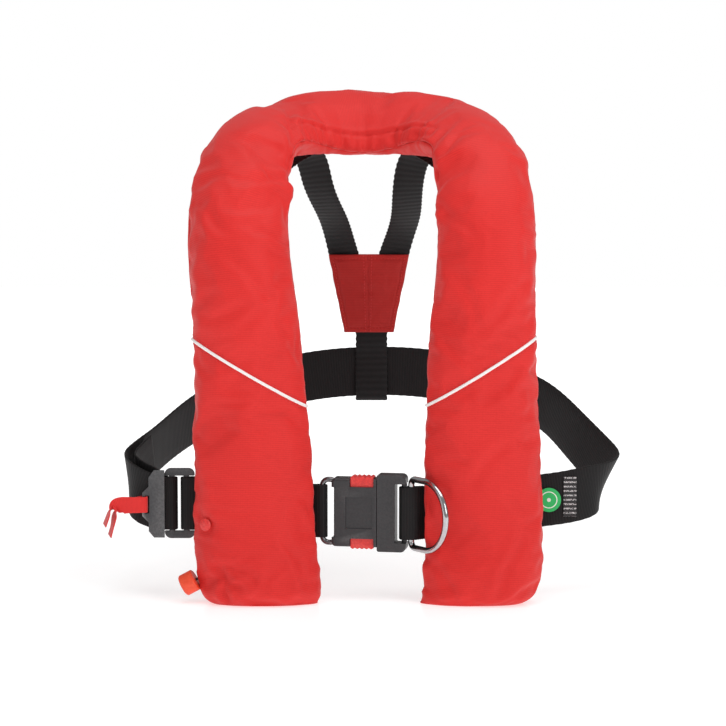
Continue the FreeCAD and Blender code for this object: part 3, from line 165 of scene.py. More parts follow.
def makeClothShade():
    # broad and fine changes of tone and gloss that coated cloth shows
    group, start, end = startGroup(
        "clothShade",
        [
            ("Broad Scale", "NodeSocketFloat", 9.0), ("Fine Scale", "NodeSocketFloat", 260.0),
            ("Amount", "NodeSocketFloat", 0.1),
        ],
        [("Tone", "NodeSocketFloat"), ("Gloss", "NodeSocketFloat"), ("Height", "NodeSocketFloat")],
    )
    place = group.nodes.new("ShaderNodeTexCoord")
    broad = group.nodes.new("ShaderNodeTexNoise")
    broad.inputs["Detail"].default_value = 4
    fine = group.nodes.new("ShaderNodeTexNoise")
    fine.inputs["Detail"].default_value = 3
    for node, label in ((broad, "Broad Scale"), (fine, "Fine Scale")):
        group.links.new(place.outputs["Object"], node.inputs["Vector"])
        group.links.new(start.outputs[label], node.inputs["Scale"])
    swing = mathNode(group, "SUBTRACT", broad.outputs[0], 0.5)
    grain = mathNode(group, "SUBTRACT", fine.outputs[0], 0.5)
    both = mathNode(group, "ADD", swing, mathNode(group, "MULTIPLY", grain, 0.6))
    tone = mathNode(group, "ADD", mathNode(group, "MULTIPLY", both, start.outputs["Amount"]), 0.5)
    gloss = mathNode(group, "ADD", mathNode(group, "MULTIPLY", grain, start.outputs["Amount"]), 0.5)
    group.links.new(tone, end.inputs["Tone"])
    group.links.new(gloss, end.inputs["Gloss"])
    group.links.new(fine.outputs[0], end.inputs["Height"])
    return group


def makeRibs():
    # ribs across a strip's own length, with finer threads along it; UV is in metres
    group, start, end = startGroup(
        "webRibs",
        [
            ("Rib Pitch", "NodeSocketFloat", 0.0022), ("Thread Pitch", "NodeSocketFloat", 0.0012),
            ("Waver", "NodeSocketFloat", 0.15),
        ],
        [("Height", "NodeSocketFloat"), ("Valley", "NodeSocketFloat")],
    )
    place = group.nodes.new("ShaderNodeUVMap")
    place.uv_map = "length"
    parts = group.nodes.new("ShaderNodeSeparateXYZ")
    group.links.new(place.outputs[0], parts.inputs[0])
    wobble = group.nodes.new("ShaderNodeTexNoise")
    wobble.inputs["Scale"].default_value = 140
    group.links.new(place.outputs[0], wobble.inputs["Vector"])
    shift = mathNode(group, "MULTIPLY", wobble.outputs[0], start.outputs["Waver"])
    along = mathNode(
        group, "ADD", mathNode(group, "DIVIDE", parts.outputs[0], start.outputs["Rib Pitch"]), shift,
    )
    aside = mathNode(group, "DIVIDE", parts.outputs[1], start.outputs["Thread Pitch"])
    rib = mathNode(group, "SINE", mathNode(group, "MULTIPLY", along, 2 * math.pi))
    thread = mathNode(group, "SINE", mathNode(group, "MULTIPLY", aside, 2 * math.pi))
    ribUp = mathNode(group, "ADD", mathNode(group, "MULTIPLY", rib, 0.5), 0.5)
    threadUp = mathNode(group, "ADD", mathNode(group, "MULTIPLY", thread, 0.5), 0.5)
    height = mathNode(
        group, "ADD", mathNode(group, "MULTIPLY", ribUp, 0.75), mathNode(group, "MULTIPLY", threadUp, 0.25),
    )
    group.links.new(height, end.inputs["Height"])
    group.links.new(mathNode(group, "SUBTRACT", 1.0, height), end.inputs["Valley"])
    return group


def makeWear():
    # rubbed edges and faint scratches on hard parts
    group, start, end = startGroup(
        "edgeRub",
        [("Edge", "NodeSocketFloat", 0.6), ("Scale", "NodeSocketFloat", 300.0)],
        [("Rub", "NodeSocketFloat"), ("Grain", "NodeSocketFloat")],
    )
    place = group.nodes.new("ShaderNodeTexCoord")
    shape = group.nodes.new("ShaderNodeNewGeometry")
    speck = group.nodes.new("ShaderNodeTexNoise")
    speck.inputs["Detail"].default_value = 5
    group.links.new(place.outputs["Object"], speck.inputs["Vector"])
    group.links.new(start.outputs["Scale"], speck.inputs["Scale"])
    sharp = mathNode(
        group, "MULTIPLY", mathNode(group, "SUBTRACT", shape.outputs["Pointiness"], 0.52), 9.0, True,
    )
    rub = mathNode(
        group, "MULTIPLY", mathNode(group, "MULTIPLY", sharp, speck.outputs[0]), start.outputs["Edge"], True,
    )
    group.links.new(rub, end.inputs["Rub"])
    group.links.new(speck.outputs[0], end.inputs["Grain"])
    return group


clothShade = makeClothShade()
webRibs = makeRibs()
edgeRub = makeWear()


def addGroup(tree, group, **values):
    node = tree.nodes.new("ShaderNodeGroup")
    node.node_tree = group
    for label, value in values.items():
        node.inputs[label.replace("_", " ")].default_value = value
    return node


def toneRamp(tree, factor, dark, light, low=0.3, high=0.7):
    ramp = tree.nodes.new("ShaderNodeValToRGB")
    ramp.color_ramp.elements[0].position = low
    ramp.color_ramp.elements[0].color = (*dark, 1)
    ramp.color_ramp.elements[1].position = high
    ramp.color_ramp.elements[1].color = (*light, 1)
    tree.links.new(factor, ramp.inputs[0])
    return ramp.outputs[0]


def rangeTo(tree, value, low, high):
    node = tree.nodes.new("ShaderNodeMapRange")
    node.inputs["To Min"].default_value = low
    node.inputs["To Max"].default_value = high
    tree.links.new(value, node.inputs["Value"])
    return node.outputs[0]


def bumpNode(tree, height, strength, distance, normal=None):
    bump = tree.nodes.new("ShaderNodeBump")
    bump.inputs["Strength"].default_value = strength
    bump.inputs["Distance"].default_value = distance
    tree.links.new(height, bump.inputs["Height"])
    if normal is not None:
        tree.links.new(normal, bump.inputs["Normal"])
    return bump.outputs[0]


def clothMaterial(name, dark, light, ribPitch, threadPitch, ribBump, roughness, sheen):
    material, tree, links, shader = startMaterial(name, light, roughness)
    tree = material.node_tree
    shade = addGroup(tree, clothShade, Broad_Scale=14.0, Fine_Scale=420.0, Amount=0.5)
    ribs = addGroup(tree, webRibs, Rib_Pitch=ribPitch, Thread_Pitch=threadPitch, Waver=0.25)
    mix = mathNode(
        tree, "ADD", mathNode(tree, "MULTIPLY", shade.outputs["Tone"], 0.7),
        mathNode(tree, "MULTIPLY", ribs.outputs["Height"], 0.3),
    )
    links.new(toneRamp(tree, mix, dark, light, 0.25, 0.75), shader.inputs["Base Color"])
    links.new(
        rangeTo(tree, shade.outputs["Gloss"], roughness - 0.08, roughness + 0.08), shader.inputs["Roughness"],
    )
    fine = bumpNode(tree, ribs.outputs["Height"], 0.6, ribBump)
    links.new(bumpNode(tree, shade.outputs["Height"], 0.25, 0.0002, fine), shader.inputs["Normal"])
    shader.inputs["Specular IOR Level"].default_value = 0.22
    shader.inputs["Sheen Weight"].default_value = sheen
    shader.inputs["Sheen Roughness"].default_value = 0.5
    return material


def hardMaterial(
    name, dark, light, roughness, metallic=0.0, rubbed=(0.5, 0.5, 0.5), edge=0.6, grain=0.00002, coat=0.0,
):
    material, tree, links, shader = startMaterial(name, light, roughness, metallic)
    tree = material.node_tree
    wear = addGroup(tree, edgeRub, Edge=edge, Scale=520.0)
    base = toneRamp(tree, wear.outputs["Grain"], dark, light, 0.35, 0.65)
    mix = tree.nodes.new("ShaderNodeMix")
    mix.data_type = "RGBA"
    links.new(wear.outputs["Rub"], mix.inputs["Factor"])
    links.new(base, mix.inputs["A"])
    mix.inputs["B"].default_value = (*rubbed, 1)
    links.new(mix.outputs["Result"], shader.inputs["Base Color"])
    links.new(
        rangeTo(tree, wear.outputs["Grain"], roughness - 0.06, roughness + 0.06), shader.inputs["Roughness"],
    )
    links.new(bumpNode(tree, wear.outputs["Grain"], 0.3, grain), shader.inputs["Normal"])
    shader.inputs["Coat Weight"].default_value = coat
    return material


coverRed = clothMaterial(
    "coverRed", (0.58, 0.017, 0.015), (0.76, 0.030, 0.026), 0.0017, 0.0011, 0.00012, 0.55, 0.08,
)
patchRed = clothMaterial(
    "patchRed", (0.36, 0.012, 0.01), (0.5, 0.02, 0.016), 0.0017, 0.0011, 0.00016, 0.6, 0.2,
)
pullTabRed = clothMaterial(
    "pullTabRed", (0.62, 0.02, 0.02), (0.85, 0.04, 0.035), 0.0012, 0.0011, 0.00015, 0.6, 0.2,
)
pipingWhite = clothMaterial(
    "pipingWhite", (0.7, 0.7, 0.7), (0.92, 0.92, 0.9), 0.0011, 0.0009, 0.0001, 0.6, 0.2,
)
beltBlack = clothMaterial(
    "beltBlack", (0.004, 0.0037, 0.004), (0.014, 0.0125, 0.013), 0.0026, 0.0013, 0.0003, 0.6, 0.04,
)
strapBlack = clothMaterial(
    "strapBlack", (0.004, 0.0037, 0.004), (0.015, 0.0135, 0.014), 0.0062, 0.0014, 0.0005, 0.6, 0.04,
)
stitchRed = clothMaterial(
    "stitchRed", (0.45, 0.01, 0.01), (0.7, 0.03, 0.03), 0.0006, 0.0004, 0.00005, 0.6, 0.2,
)
stitchBlack = clothMaterial(
    "stitchBlack", (0.01, 0.01, 0.01), (0.04, 0.038, 0.04), 0.0006, 0.0004, 0.00005, 0.6, 0.2,
)
buckleGrey = hardMaterial(
    "buckleGrey", (0.034, 0.033, 0.035), (0.044, 0.042, 0.044), 0.42, 0.35, (0.2, 0.2, 0.2), 0.7,
)
adjusterSteel = hardMaterial(
    "adjusterSteel", (0.05, 0.05, 0.053), (0.062, 0.061, 0.064), 0.34, 0.6, (0.45, 0.45, 0.45), 0.9,
)
brightSteel = hardMaterial(
    "brightSteel", (0.42, 0.42, 0.43), (0.5, 0.5, 0.51), 0.13, 1.0, (0.8, 0.8, 0.8), 0.4, 0.000004,
)
buttonRed = hardMaterial(
    "buttonRed", (0.62, 0.02, 0.02), (0.8, 0.035, 0.03), 0.42, 0.0, (0.85, 0.2, 0.16), 0.5,
)
knobOrange = hardMaterial(
    "knobOrange", (0.82, 0.055, 0.015), (0.9, 0.07, 0.02), 0.42, 0.0, (0.95, 0.3, 0.15), 0.4,
)
darkPlastic = hardMaterial(
    "darkPlastic", (0.012, 0.012, 0.013), (0.03, 0.03, 0.03), 0.5, 0.0, (0.1, 0.1, 0.1), 0.5,
)
greySteel = hardMaterial(
    "greySteel", (0.12, 0.12, 0.125), (0.2, 0.2, 0.205), 0.25, 0.9, (0.6, 0.6, 0.6), 0.6, 0.00001,
)
zincSteel = hardMaterial("zincSteel", (0.35, 0.35, 0.36), (0.5, 0.5, 0.5), 0.35, 0.9, (0.7, 0.7, 0.7), 0.5)
greenPlastic = hardMaterial(
    "greenPlastic", (0.01, 0.3, 0.05), (0.02, 0.5, 0.09), 0.45, 0.0, (0.3, 0.7, 0.4), 0.4,
)
yellowCoat = clothMaterial(
    "yellowCoat", (0.6, 0.36, 0.01), (0.8, 0.5, 0.02), 0.0012, 0.0012, 0.0001, 0.5, 0.1,
)
yellowPlastic = hardMaterial(
    "yellowPlastic", (0.7, 0.4, 0.01), (0.85, 0.55, 0.03), 0.4, 0.0, (0.9, 0.8, 0.4), 0.4,
)
rubberBlack = hardMaterial(
    "rubberBlack", (0.012, 0.012, 0.012), (0.022, 0.022, 0.022), 0.65, 0.0, (0.05, 0.05, 0.05), 0.4,
)


seal = {"middle": (0.176, 0.093), "radius": 0.0115}
tape = {"row": 0.0042, "printed": 0.35, "speckle": 900, "sparse": 0.47}


def sealMaterial():
    # green disc with a pale ring, drawn from the distance to its middle
    material, tree, links, shader = startMaterial("sealGreen", (0.02, 0.5, 0.12), 0.5)
    tree = material.node_tree
    place = tree.nodes.new("ShaderNodeTexCoord")
    parts = tree.nodes.new("ShaderNodeSeparateXYZ")
    links.new(place.outputs["Object"], parts.inputs[0])
    across = mathNode(tree, "SUBTRACT", parts.outputs[0], seal["middle"][0])
    up = mathNode(tree, "SUBTRACT", parts.outputs[2], seal["middle"][1])
    away = mathNode(
        tree, "SQRT",
        mathNode(tree, "ADD", mathNode(tree, "MULTIPLY", across, across), mathNode(tree, "MULTIPLY", up, up)),
    )
    ramp = tree.nodes.new("ShaderNodeValToRGB")
    ramp.color_ramp.interpolation = "CONSTANT"
    stops = [
        (0.0, (0.75, 0.85, 0.75)), (0.16, (0.02, 0.5, 0.12)), (0.62, (0.8, 0.9, 0.8)),
        (0.70, (0.02, 0.5, 0.12)),
    ]
    while len(ramp.color_ramp.elements) < len(stops):
        ramp.color_ramp.elements.new(0.5)
    for element, (stopAt, colour) in zip(ramp.color_ramp.elements, stops):
        element.position = stopAt
        element.color = (*colour, 1)
    links.new(mathNode(tree, "DIVIDE", away, seal["radius"]), ramp.inputs[0])
    links.new(ramp.outputs[0], shader.inputs["Base Color"])
    return material


def labelMaterial():
    # dark printed tape: short pale dashes in rows, no writing
    material, tree, links, shader = startMaterial("labelDark", (0.02, 0.02, 0.02), 0.5)
    tree = material.node_tree
    place = tree.nodes.new("ShaderNodeTexCoord")
    parts = tree.nodes.new("ShaderNodeSeparateXYZ")
    links.new(place.outputs["Object"], parts.inputs[0])
    row = mathNode(tree, "FRACT", mathNode(tree, "DIVIDE", parts.outputs[2], tape["row"]))
    dash = tree.nodes.new("ShaderNodeTexNoise")
    dash.inputs["Scale"].default_value = tape["speckle"]
    links.new(place.outputs["Object"], dash.inputs["Vector"])
    printed = mathNode(tree, "LESS_THAN", row, tape["printed"])
    mark = mathNode(
        tree, "MULTIPLY", printed, mathNode(tree, "GREATER_THAN", dash.outputs[0], tape["sparse"]),
    )
    ramp = tree.nodes.new("ShaderNodeValToRGB")
    ramp.color_ramp.elements[0].color = (0.015, 0.014, 0.015, 1)
    ramp.color_ramp.elements[1].color = (0.55, 0.55, 0.55, 1)
    links.new(mark, ramp.inputs[0])
    links.new(ramp.outputs[0], shader.inputs["Base Color"])
    return material


sealGreen = sealMaterial()
labelDark = labelMaterial()
print("materials ready")


# the horseshoe: sections along a path, as in the CAD model

cover = {
    "height": 350, "halfThickness": 30, "depth": -122,
    "left": [
        (0, 42, 140, .60), (.023, 41, 148, .78), (.065, 41.5, 153.5, .86), (.13, 43, 156.5, .88),
        (.277, 46, 158.5, .86), (.486, 50.5, 158, .93), (.686, 57, 157.5, 1), (.857, 65, 160, 1),
        (1, 69.5, 163, 1),
    ],
    "right": [
        (0, 54, 147, .60), (.023, 56, 157, .76), (.065, 57, 163.5, .82), (.13, 57.2, 167, .82),
        (.277, 57.2, 167.5, .78), (.486, 58.5, 165.5, .92), (.686, 61.5, 162, 1), (.857, 67.5, 160, 1),
        (1, 69.5, 160, 1),
    ],
    "shoulder": [
        (113, 34, 40, (.1, -.77, .63), .15), (104, 67, 70, (.3, -.45, .84), .45),
        (84, 102, 86, (.15, -.4, .9), .75), (50, 134, 93, (.05, -.55, .83), 1),
    ],
    "middle": (0, 146, 93, (0, -.62, .79), 1),
    "outerFullness": 2.4, "innerFullness": 1.7,
    "step": 2.6, "around": 120, "thickness": 1.3,
}


def coverStations():
    rows = []
    def lobe(table, side):
        found = []
        for share, inner, outer, full in table:
            top = share == 1
            normal = (0, -.935, .35) if top else (0, -1, 0)
            found.append(
                (
                    (
                        side * (inner + outer) / 2, cover["depth"] + (10 if top else 0),
                        share * cover["height"],
                    ),
                    normal, (outer - inner) / 2, full * 30,
                )
            )
        return found
    def collar(entry, side):
        x, back, rise, n, share = entry
        return (
            (side * x, cover["depth"] + back, cover["height"] + rise), (side * n[0], n[1], n[2]),
            46 * (1 - share) + 40 * share, 30 * (1 - share) + 24 * share,
        )
    rows += lobe(cover["left"], -1)
    rows += [collar(e, -1) for e in cover["shoulder"]] + [collar(cover["middle"], 1)]
    rows += [collar(e, 1) for e in reversed(cover["shoulder"])]
    rows += list(reversed(lobe(cover["right"], 1)))
    centres = np.array([r[0] for r in rows], float)
    outward = np.array([r[1] for r in rows], float)
    last = len(rows) - 1
    along = np.array([centres[min(i + 1, last)] - centres[max(i - 1, 0)] for i in range(last + 1)])
    along[:7] = (0, 0, 1)
    along[-7:] = (0, 0, -1)
    along = unit(along)
    outward = unit(outward - along * np.sum(along * outward, 1, keepdims=True))
    sizes = np.array([(r[2], r[3]) for r in rows], float)
    return centres, outward, along, sizes


centres, outward, along, sizes = coverStations()
stationLength = np.concatenate([[0], np.cumsum(np.linalg.norm(np.diff(centres, axis=0), axis=1))])
pathLength = stationLength[-1]


def sectionsAt(s):
    c = naturalSpline(stationLength, centres, s)
    o = naturalSpline(stationLength, outward, s)
    t = unit(naturalSpline(stationLength, along, s))
    o = unit(o - t * np.sum(t * o, 1, keepdims=True))
    a = np.cross(o, t)
    size = naturalSpline(stationLength, sizes, s)
    return c, o, t, a, size


def sectionPoint(c, o, a, size, angle, offset=0.0):
    cosine, sine = np.cos(angle), np.sin(angle)
    power = np.where(cosine > 0, 2 / cover["outerFullness"], 2 / cover["innerFullness"])
    u = (size[..., 0] + offset) * np.sign(cosine) * np.abs(cosine) ** power
    v = (size[..., 1] + offset) * np.sign(sine) * np.abs(sine) ** power
    return c + a * u[..., None] + o * v[..., None]


creases = {
    "seed": 17, "soft": 2.2, "softSize": 75, "crumple": 1.1, "crumpleSize": (34, 15), "puckerPitch": 13,
    "pucker": 1.5, "puckerReach": 24,
    "shoulderFold": 3.0, "shoulderReach": 46, "bottomFold": 2.2, "stud": (-146, -139.6, 77),
}


folds = {
    "every": 2, "spare": 0.045, "pressure": 3.0, "bending": 0.15, "frames": 20, "outward": 3.0, "inward": 5.0,
    "room": 3.1,
}
seams = {"left": ((57, 189), (157.5, 249)), "right": ((61, 188), (162, 252)), "pipingRadius": 1.5}


# single creases on the front, from x and z to x and z, with depth and half width in mm
creaseLines = [
    (-67, 412, -69, 452, 2.6, 3.2), (-112, 430, -76, 409, 2.2, 4.0), (-116, 398, -72, 396, 1.8, 3.6),
    (-95, 351, -71, 340, 2.2, 3.4), (-119, 324, -86, 292, 1.6, 5.0),
    (-150, 372, -128, 352, 1.3, 4.5), (-104, 268, -78, 300, 1.2, 5.0), (-75, 262, -58, 232, 1.6, 4.0),
    (54, 429, 67, 402, 3.0, 3.4), (52, 434, 68, 443, 2.4, 3.2), (66, 416, 90, 436, 2.2, 3.6),
    (30, 430, 29, 412, 1.6, 3.2), (-14, 418, -20, 432, 1.2, 3.0),
    (72, 372, 96, 352, 1.6, 4.0), (148, 300, 118, 268, 1.4, 5.0), (108, 262, 92, 300, 1.2, 5.0),
    (70, 250, 96, 232, 1.5, 4.0), (156, 220, 128, 240, 1.3, 4.0),
    (-137, 36, -119, 22, 2.4, 3.6), (-129, 22, -128, 5, 2.2, 3.0), (-121, 38, -101, 27, 2.0, 4.0),
    (-155, 110, -152, 84, 1.6, 4.0), (-70, 60, -52, 20, 1.5, 4.0),
    (62, 44, 84, 14, 1.8, 4.0), (146, 60, 128, 18, 1.8, 4.5), (-96, 150, -70, 128, 1.2, 5.0),
    (128, 150, 104, 122, 1.2, 5.0),
]


def creasePush(x, z, front):
    push = np.zeros_like(x)
    for x0, z0, x1, z1, depth, width in creaseLines:
        length = math.hypot(x1 - x0, z1 - z0)
        alongLine = ((x - x0) * (x1 - x0) + (z - z0) * (z1 - z0)) / length
        aside = ((x - x0) * (z1 - z0) - (z - z0) * (x1 - x0)) / length
        aside = aside + 1.6 * np.sin(alongLine / length * 5.0 + x0)
        beyond = np.maximum(0, np.maximum(-alongLine, alongLine - length))
        fade = np.exp(-(beyond / (0.22 * length)) ** 2) * front
        valley = -np.exp(-(aside / width) ** 2)
        nearRidge = 0.75 * np.exp(-((aside - 2.0 * width) / (1.3 * width)) ** 2)
        farRidge = 0.4 * np.exp(-((aside + 2.4 * width) / (1.6 * width)) ** 2)
        push += depth * (valley + (nearRidge + farRidge)) * fade
    return push


def noiseAt(points, seed):
    # smooth noise from -1 to 1 at rows of coordinates already divided by the wanted size
    return np.array(
        [noise.noise(Vector((p[0] + seed * 7.3, p[1] - seed * 3.1, p[2] + seed * 1.7))) for p in points]
    )


def ridgeAt(points, seed):
    return 1 - 2 * np.abs(noiseAt(points, seed))


def coverGrid():
    rows = int(round(pathLength / cover["step"]))
    s = np.linspace(0, pathLength, rows + 1)
    c, o, t, a, size = sectionsAt(s)
    around = cover["around"]
    # angles that space the points evenly round the flattened section
    fine = np.linspace(0, 2 * np.pi, 1441)
    middle = rows // 2
    ring = sectionPoint(c[middle], o[middle], a[middle], size[middle][None, :], fine)
    reach = np.concatenate([[0], np.cumsum(np.linalg.norm(np.diff(ring, axis=0), axis=1))])
    half = around // 2
    front = np.interp(np.linspace(0, reach[720], half + 1), reach, fine)
    angles = np.concatenate([front[:-1], front[:-1] + np.pi])
    angles[half:] = 2 * np.pi - front[::-1][:-1]
    grid = np.array(
        [sectionPoint(c, o, a, size, np.full(rows + 1, angle)) for angle in angles]
    ).transpose(1, 0, 2)
    return s, angles, grid, reach


def coverShape():
    s, angles, grid, reach = coverGrid()
    rows, around = grid.shape[0], grid.shape[1]
    normal = np.cross(np.roll(grid, -1, 1) - np.roll(grid, 1, 1), np.gradient(grid, axis=0))
    centre = grid.mean(1, keepdims=True)
    normal = unit(normal)
    flip = np.sum(normal * (grid - centre), 2) < 0
    normal[flip] *= -1
    flat = grid.reshape(-1, 3)
    arc = np.interp(angles, np.linspace(0, 2 * np.pi, 1441), reach)
    total = reach[-1]
    toOuter = np.minimum(arc, total - arc)
    toInner = np.abs(arc - total / 2)
    lengthAt = np.repeat(s[:, None], around, 1)
    arcAt = np.repeat(arc[None, :], rows, 0)
    side = np.where(lengthAt < pathLength / 2, lengthAt, pathLength - lengthAt)
    c = creases
    soft = noiseAt(flat / c["softSize"], c["seed"]).reshape(rows, around) * c["soft"]
    # crumples run mostly across the lobes
    across, alongLine = c["crumpleSize"]
    crumplePlace = np.stack([arcAt / across, lengthAt / alongLine, np.zeros_like(lengthAt)], 2).reshape(-1, 3)
    warp = noiseAt(flat / 40, c["seed"] + 3)[:, None] * 0.8
    crumple = ridgeAt(crumplePlace + warp, c["seed"] + 5).reshape(rows, around)
    patchy = smoothStep(-0.15, 0.5, noiseAt(flat / 60, c["seed"] + 9).reshape(rows, around))
    crumple = crumple * patchy * c["crumple"]
    # puckers where the panels are sewn or folded together
    wave = np.stack([lengthAt / c["puckerPitch"], np.zeros_like(lengthAt), arcAt * 0 + 3.3], 2).reshape(-1, 3)
    pucker = ridgeAt(wave, c["seed"] + 11).reshape(rows, around)
    nearInner = np.exp(-(toInner[None, :] / c["puckerReach"]) ** 1.5)
    nearOuter = np.exp(-(toOuter[None, :] / (0.6 * c["puckerReach"])) ** 1.5)
    onCollar = smoothStep(330, 400, side)
    push = pucker * c["pucker"] * (nearInner * (0.5 + 0.9 * onCollar) + nearOuter * 0.5)
    # folds gather at the inner corners of the shoulders
    corner = np.exp(-((side - 415) / c["shoulderReach"]) ** 2) * np.exp(-(toInner[None, :] / 42) ** 2)
    gather = np.sin(side / 8.5 + 1.1 * np.sin(arcAt / 17) + np.where(lengthAt < pathLength / 2, 0, 1.9))
    push = push + gather * corner * c["shoulderFold"]
    # dents low down, where the folded chamber ends
    low = np.exp(-((side - 30) / 34) ** 2)
    dents = ridgeAt(
        np.stack([arcAt / 30, lengthAt / 21, arcAt * 0], 2).reshape(-1, 3) + warp * 1.4, c["seed"] + 15,
    ).reshape(rows, around)
    push = push + dents * low * c["bottomFold"]
    push = push + soft * smoothStep(0, 40, side) + crumple
    # a stitched groove along the inner and the outer edge
    groove = -1.5 * np.exp(-(toInner[None, :] / 1.9) ** 2) - 1.1 * np.exp(-(toOuter[None, :] / 1.7) ** 2)
    push = push + groove
    # belts and straps press into the back; there the cover keeps to the CAD surface
    back = (arcAt > total / 2).astype(float)
    push = np.where(back > 0, np.minimum(push, 1.0) * 0.6, push)
    push = np.clip(push, -4.5, 3.2)
    rest = grid.copy()
    grid = grid + normal * push[:, :, None]
    moved = simulateFolds(s, grid, normal, toOuter, toInner, side)
    lift = np.sum(moved * normal, 2)
    lift = lift - np.where(back > 0, np.maximum(lift - 0.6, 0), 0)
    size = np.linalg.norm(moved, axis=2, keepdims=True)
    limit = np.where(lift > 0, folds["outward"], folds["inward"])[:, :, None]
    moved = np.where(back[:, :, None] > 0, normal * lift[:, :, None], moved)
    grid = grid + moved * np.minimum(1, limit / np.maximum(size, 1e-6))
    front = 1 - back
    grid = grid + normal * creasePush(grid[:, :, 0], grid[:, :, 2], front)[:, :, None]
    # a turned lip along the collar's lower edge, gathered here and there
    lipAt = arcAt - (total / 2 - 17) + 2.2 * noiseAt(
        np.stack([lengthAt / 26, lengthAt * 0 + 5, lengthAt * 0], 2).reshape(-1, 3), 31,
    ).reshape(rows, around)
    neck = (1 - smoothStep(60, 76, np.abs(grid[:, :, 0]))) * front * onCollar
    under = smoothStep(-1.6, 1.6, lipAt) * neck
    lip = np.exp(-((lipAt + 3.2) / 3.0) ** 2) * neck
    tuck = np.exp(-((lipAt - 0.6) / 1.5) ** 2) * neck
    gathers = ridgeAt(
        np.stack([lengthAt / 9, lengthAt * 0 + 9, arcAt / 60], 2).reshape(-1, 3), 37,
    ).reshape(rows, around)
    grid = grid + normal * (lip * 1.3 - tuck * 1.8 + under * (gathers * 1.2 - 0.4))[:, :, None]
    # flat round the press stud
    away = np.linalg.norm(grid - np.array(creases["stud"]), axis=2)
    hold = np.exp(-(away / 11) ** 4)
    depth = np.sum((grid - rest) * normal, 2)
    ring = -0.9 * np.exp(-((away - 8.5) / 2.2) ** 2)
    grid = grid + normal * ((-0.5 + ring - depth) * hold)[:, :, None]
    # the chamber inside stays covered
    depth = np.sum((grid - rest) * normal, 2)
    grid = grid + normal * np.maximum(-folds["room"] - depth, 0)[:, :, None]
    lift = np.minimum(grid[:, :, 2], 0)
    grid[:, :, 2] -= lift
    return s, angles, arc, grid, normal, total


def simulateFolds(s, grid, normal, toOuter, toInner, side):
    # a coarse skin with a little spare cloth, blown up from inside and held along its seams
    every = folds["every"]
    rows, columns = np.arange(0, grid.shape[0], every), np.arange(0, grid.shape[1], every)
    coarse = grid[np.ix_(rows, columns)]
    nr, nc = coarse.shape[:2]
    vertices = [tuple(p * mm) for p in coarse.reshape(-1, 3)]
    faces = [
        (i * nc + j, i * nc + (j + 1) % nc, (i + 1) * nc + (j + 1) % nc, (i + 1) * nc + j)
        for i in range(nr - 1)
        for j in range(nc)
    ]
    for row in (0, nr - 1):
        vertices.append(tuple(coarse[row].mean(0) * mm))
        tip = len(vertices) - 1
        for j in range(nc):
            tri = (row * nc + j, row * nc + (j + 1) % nc, tip)
            faces.append(tri[::-1] if row == 0 else tri)
    skin = showMesh("foldSkin", vertices, faces)
    work = bmesh.new()
    work.from_mesh(skin.data)
    bmesh.ops.recalc_face_normals(work, faces=work.faces)
    work.to_mesh(skin.data)
    work.free()
    hold = skin.vertex_groups.new(name="hold")
    inner, outer = toInner[columns], toOuter[columns]
    x, z = coarse[:, :, 0], coarse[:, :, 2]
    back = np.arange(nc)[None, :] > nc / 2
    for i in range(nr):
        for j in range(nc):
            pinned = outer[j] < 2.5 or inner[j] < 2.5 or i in (0, nr - 1)
            for sign, key in ((-1, "left"), (1, "right")):
                (x0, z0), (x1, z1) = seams[key]
                gap = (
                    (z[i, j] - z0) * (x1 - x0) - (x[i, j] * sign - x0) * (z1 - z0)
                ) / math.hypot(x1 - x0, z1 - z0)
                pinned = pinned or (x[i, j] * sign > 0 and z[i, j] < 320 and abs(gap) < 2.8 and not back[0, j])
            if pinned:
                hold.add([i * nc + j], 1.0, "REPLACE")
    hold.add([nr * nc, nr * nc + 1], 1.0, "REPLACE")
    modifier = skin.modifiers.new("cloth", "CLOTH")
    cloth = modifier.settings
    cloth.quality = 6
    cloth.mass = 0.25
    cloth.air_damping = 3
    cloth.tension_stiffness = 40
    cloth.compression_stiffness = 40
    cloth.shear_stiffness = 8
    cloth.bending_stiffness = folds["bending"]
    cloth.use_pressure = True
    cloth.uniform_pressure_force = folds["pressure"]
    cloth.effector_weights.gravity = 0
    cloth.shrink_min = -folds["spare"]
    cloth.vertex_group_mass = "hold"
    modifier.collision_settings.use_collision = False
    modifier.point_cache.frame_start = 1
    modifier.point_cache.frame_end = folds["frames"]
    scene = bpy.context.scene
    for number in range(1, folds["frames"] + 1):
        scene.frame_set(number)
    found = skin.evaluated_get(bpy.context.evaluated_depsgraph_get()).to_mesh()
    places = np.empty(len(found.vertices) * 3)
    found.vertices.foreach_get("co", places)
    moved = places.reshape(-1, 3)[: nr * nc].reshape(nr, nc, 3) / mm - coarse
    scene.frame_set(1)
    bpy.data.objects.remove(skin)
    print("cloth moved up to", round(float(np.abs(moved).max()), 1), "mm")
    # bring the moves to the fine grid
    rowAt = np.arange(grid.shape[0])
    full = np.empty((nr, grid.shape[1], 3))
    columnKnots = np.append(columns, grid.shape[1])
    for axis in range(3):
        wrapped = np.concatenate([moved[:, :, axis], moved[:, :1, axis]], 1)
        for i in range(nr):
            full[i, :, axis] = np.interp(np.arange(grid.shape[1]), columnKnots, wrapped[i])
    fine = np.empty(grid.shape)
    for axis in range(3):
        for j in range(grid.shape[1]):
            fine[:, j, axis] = np.interp(rowAt, rows, full[:, j, axis])
    for turn in range(2):
        fine = (np.roll(fine, 1, 1) + 2 * fine + np.roll(fine, -1, 1)) / 4
        fine[1:-1] = (fine[:-2] + 2 * fine[1:-1] + fine[2:]) / 4
    return fine


sCover, angleCover, arcCover, coverSkin, coverNormal, aroundLength = coverShape()
print("cover skin", coverSkin.shape)


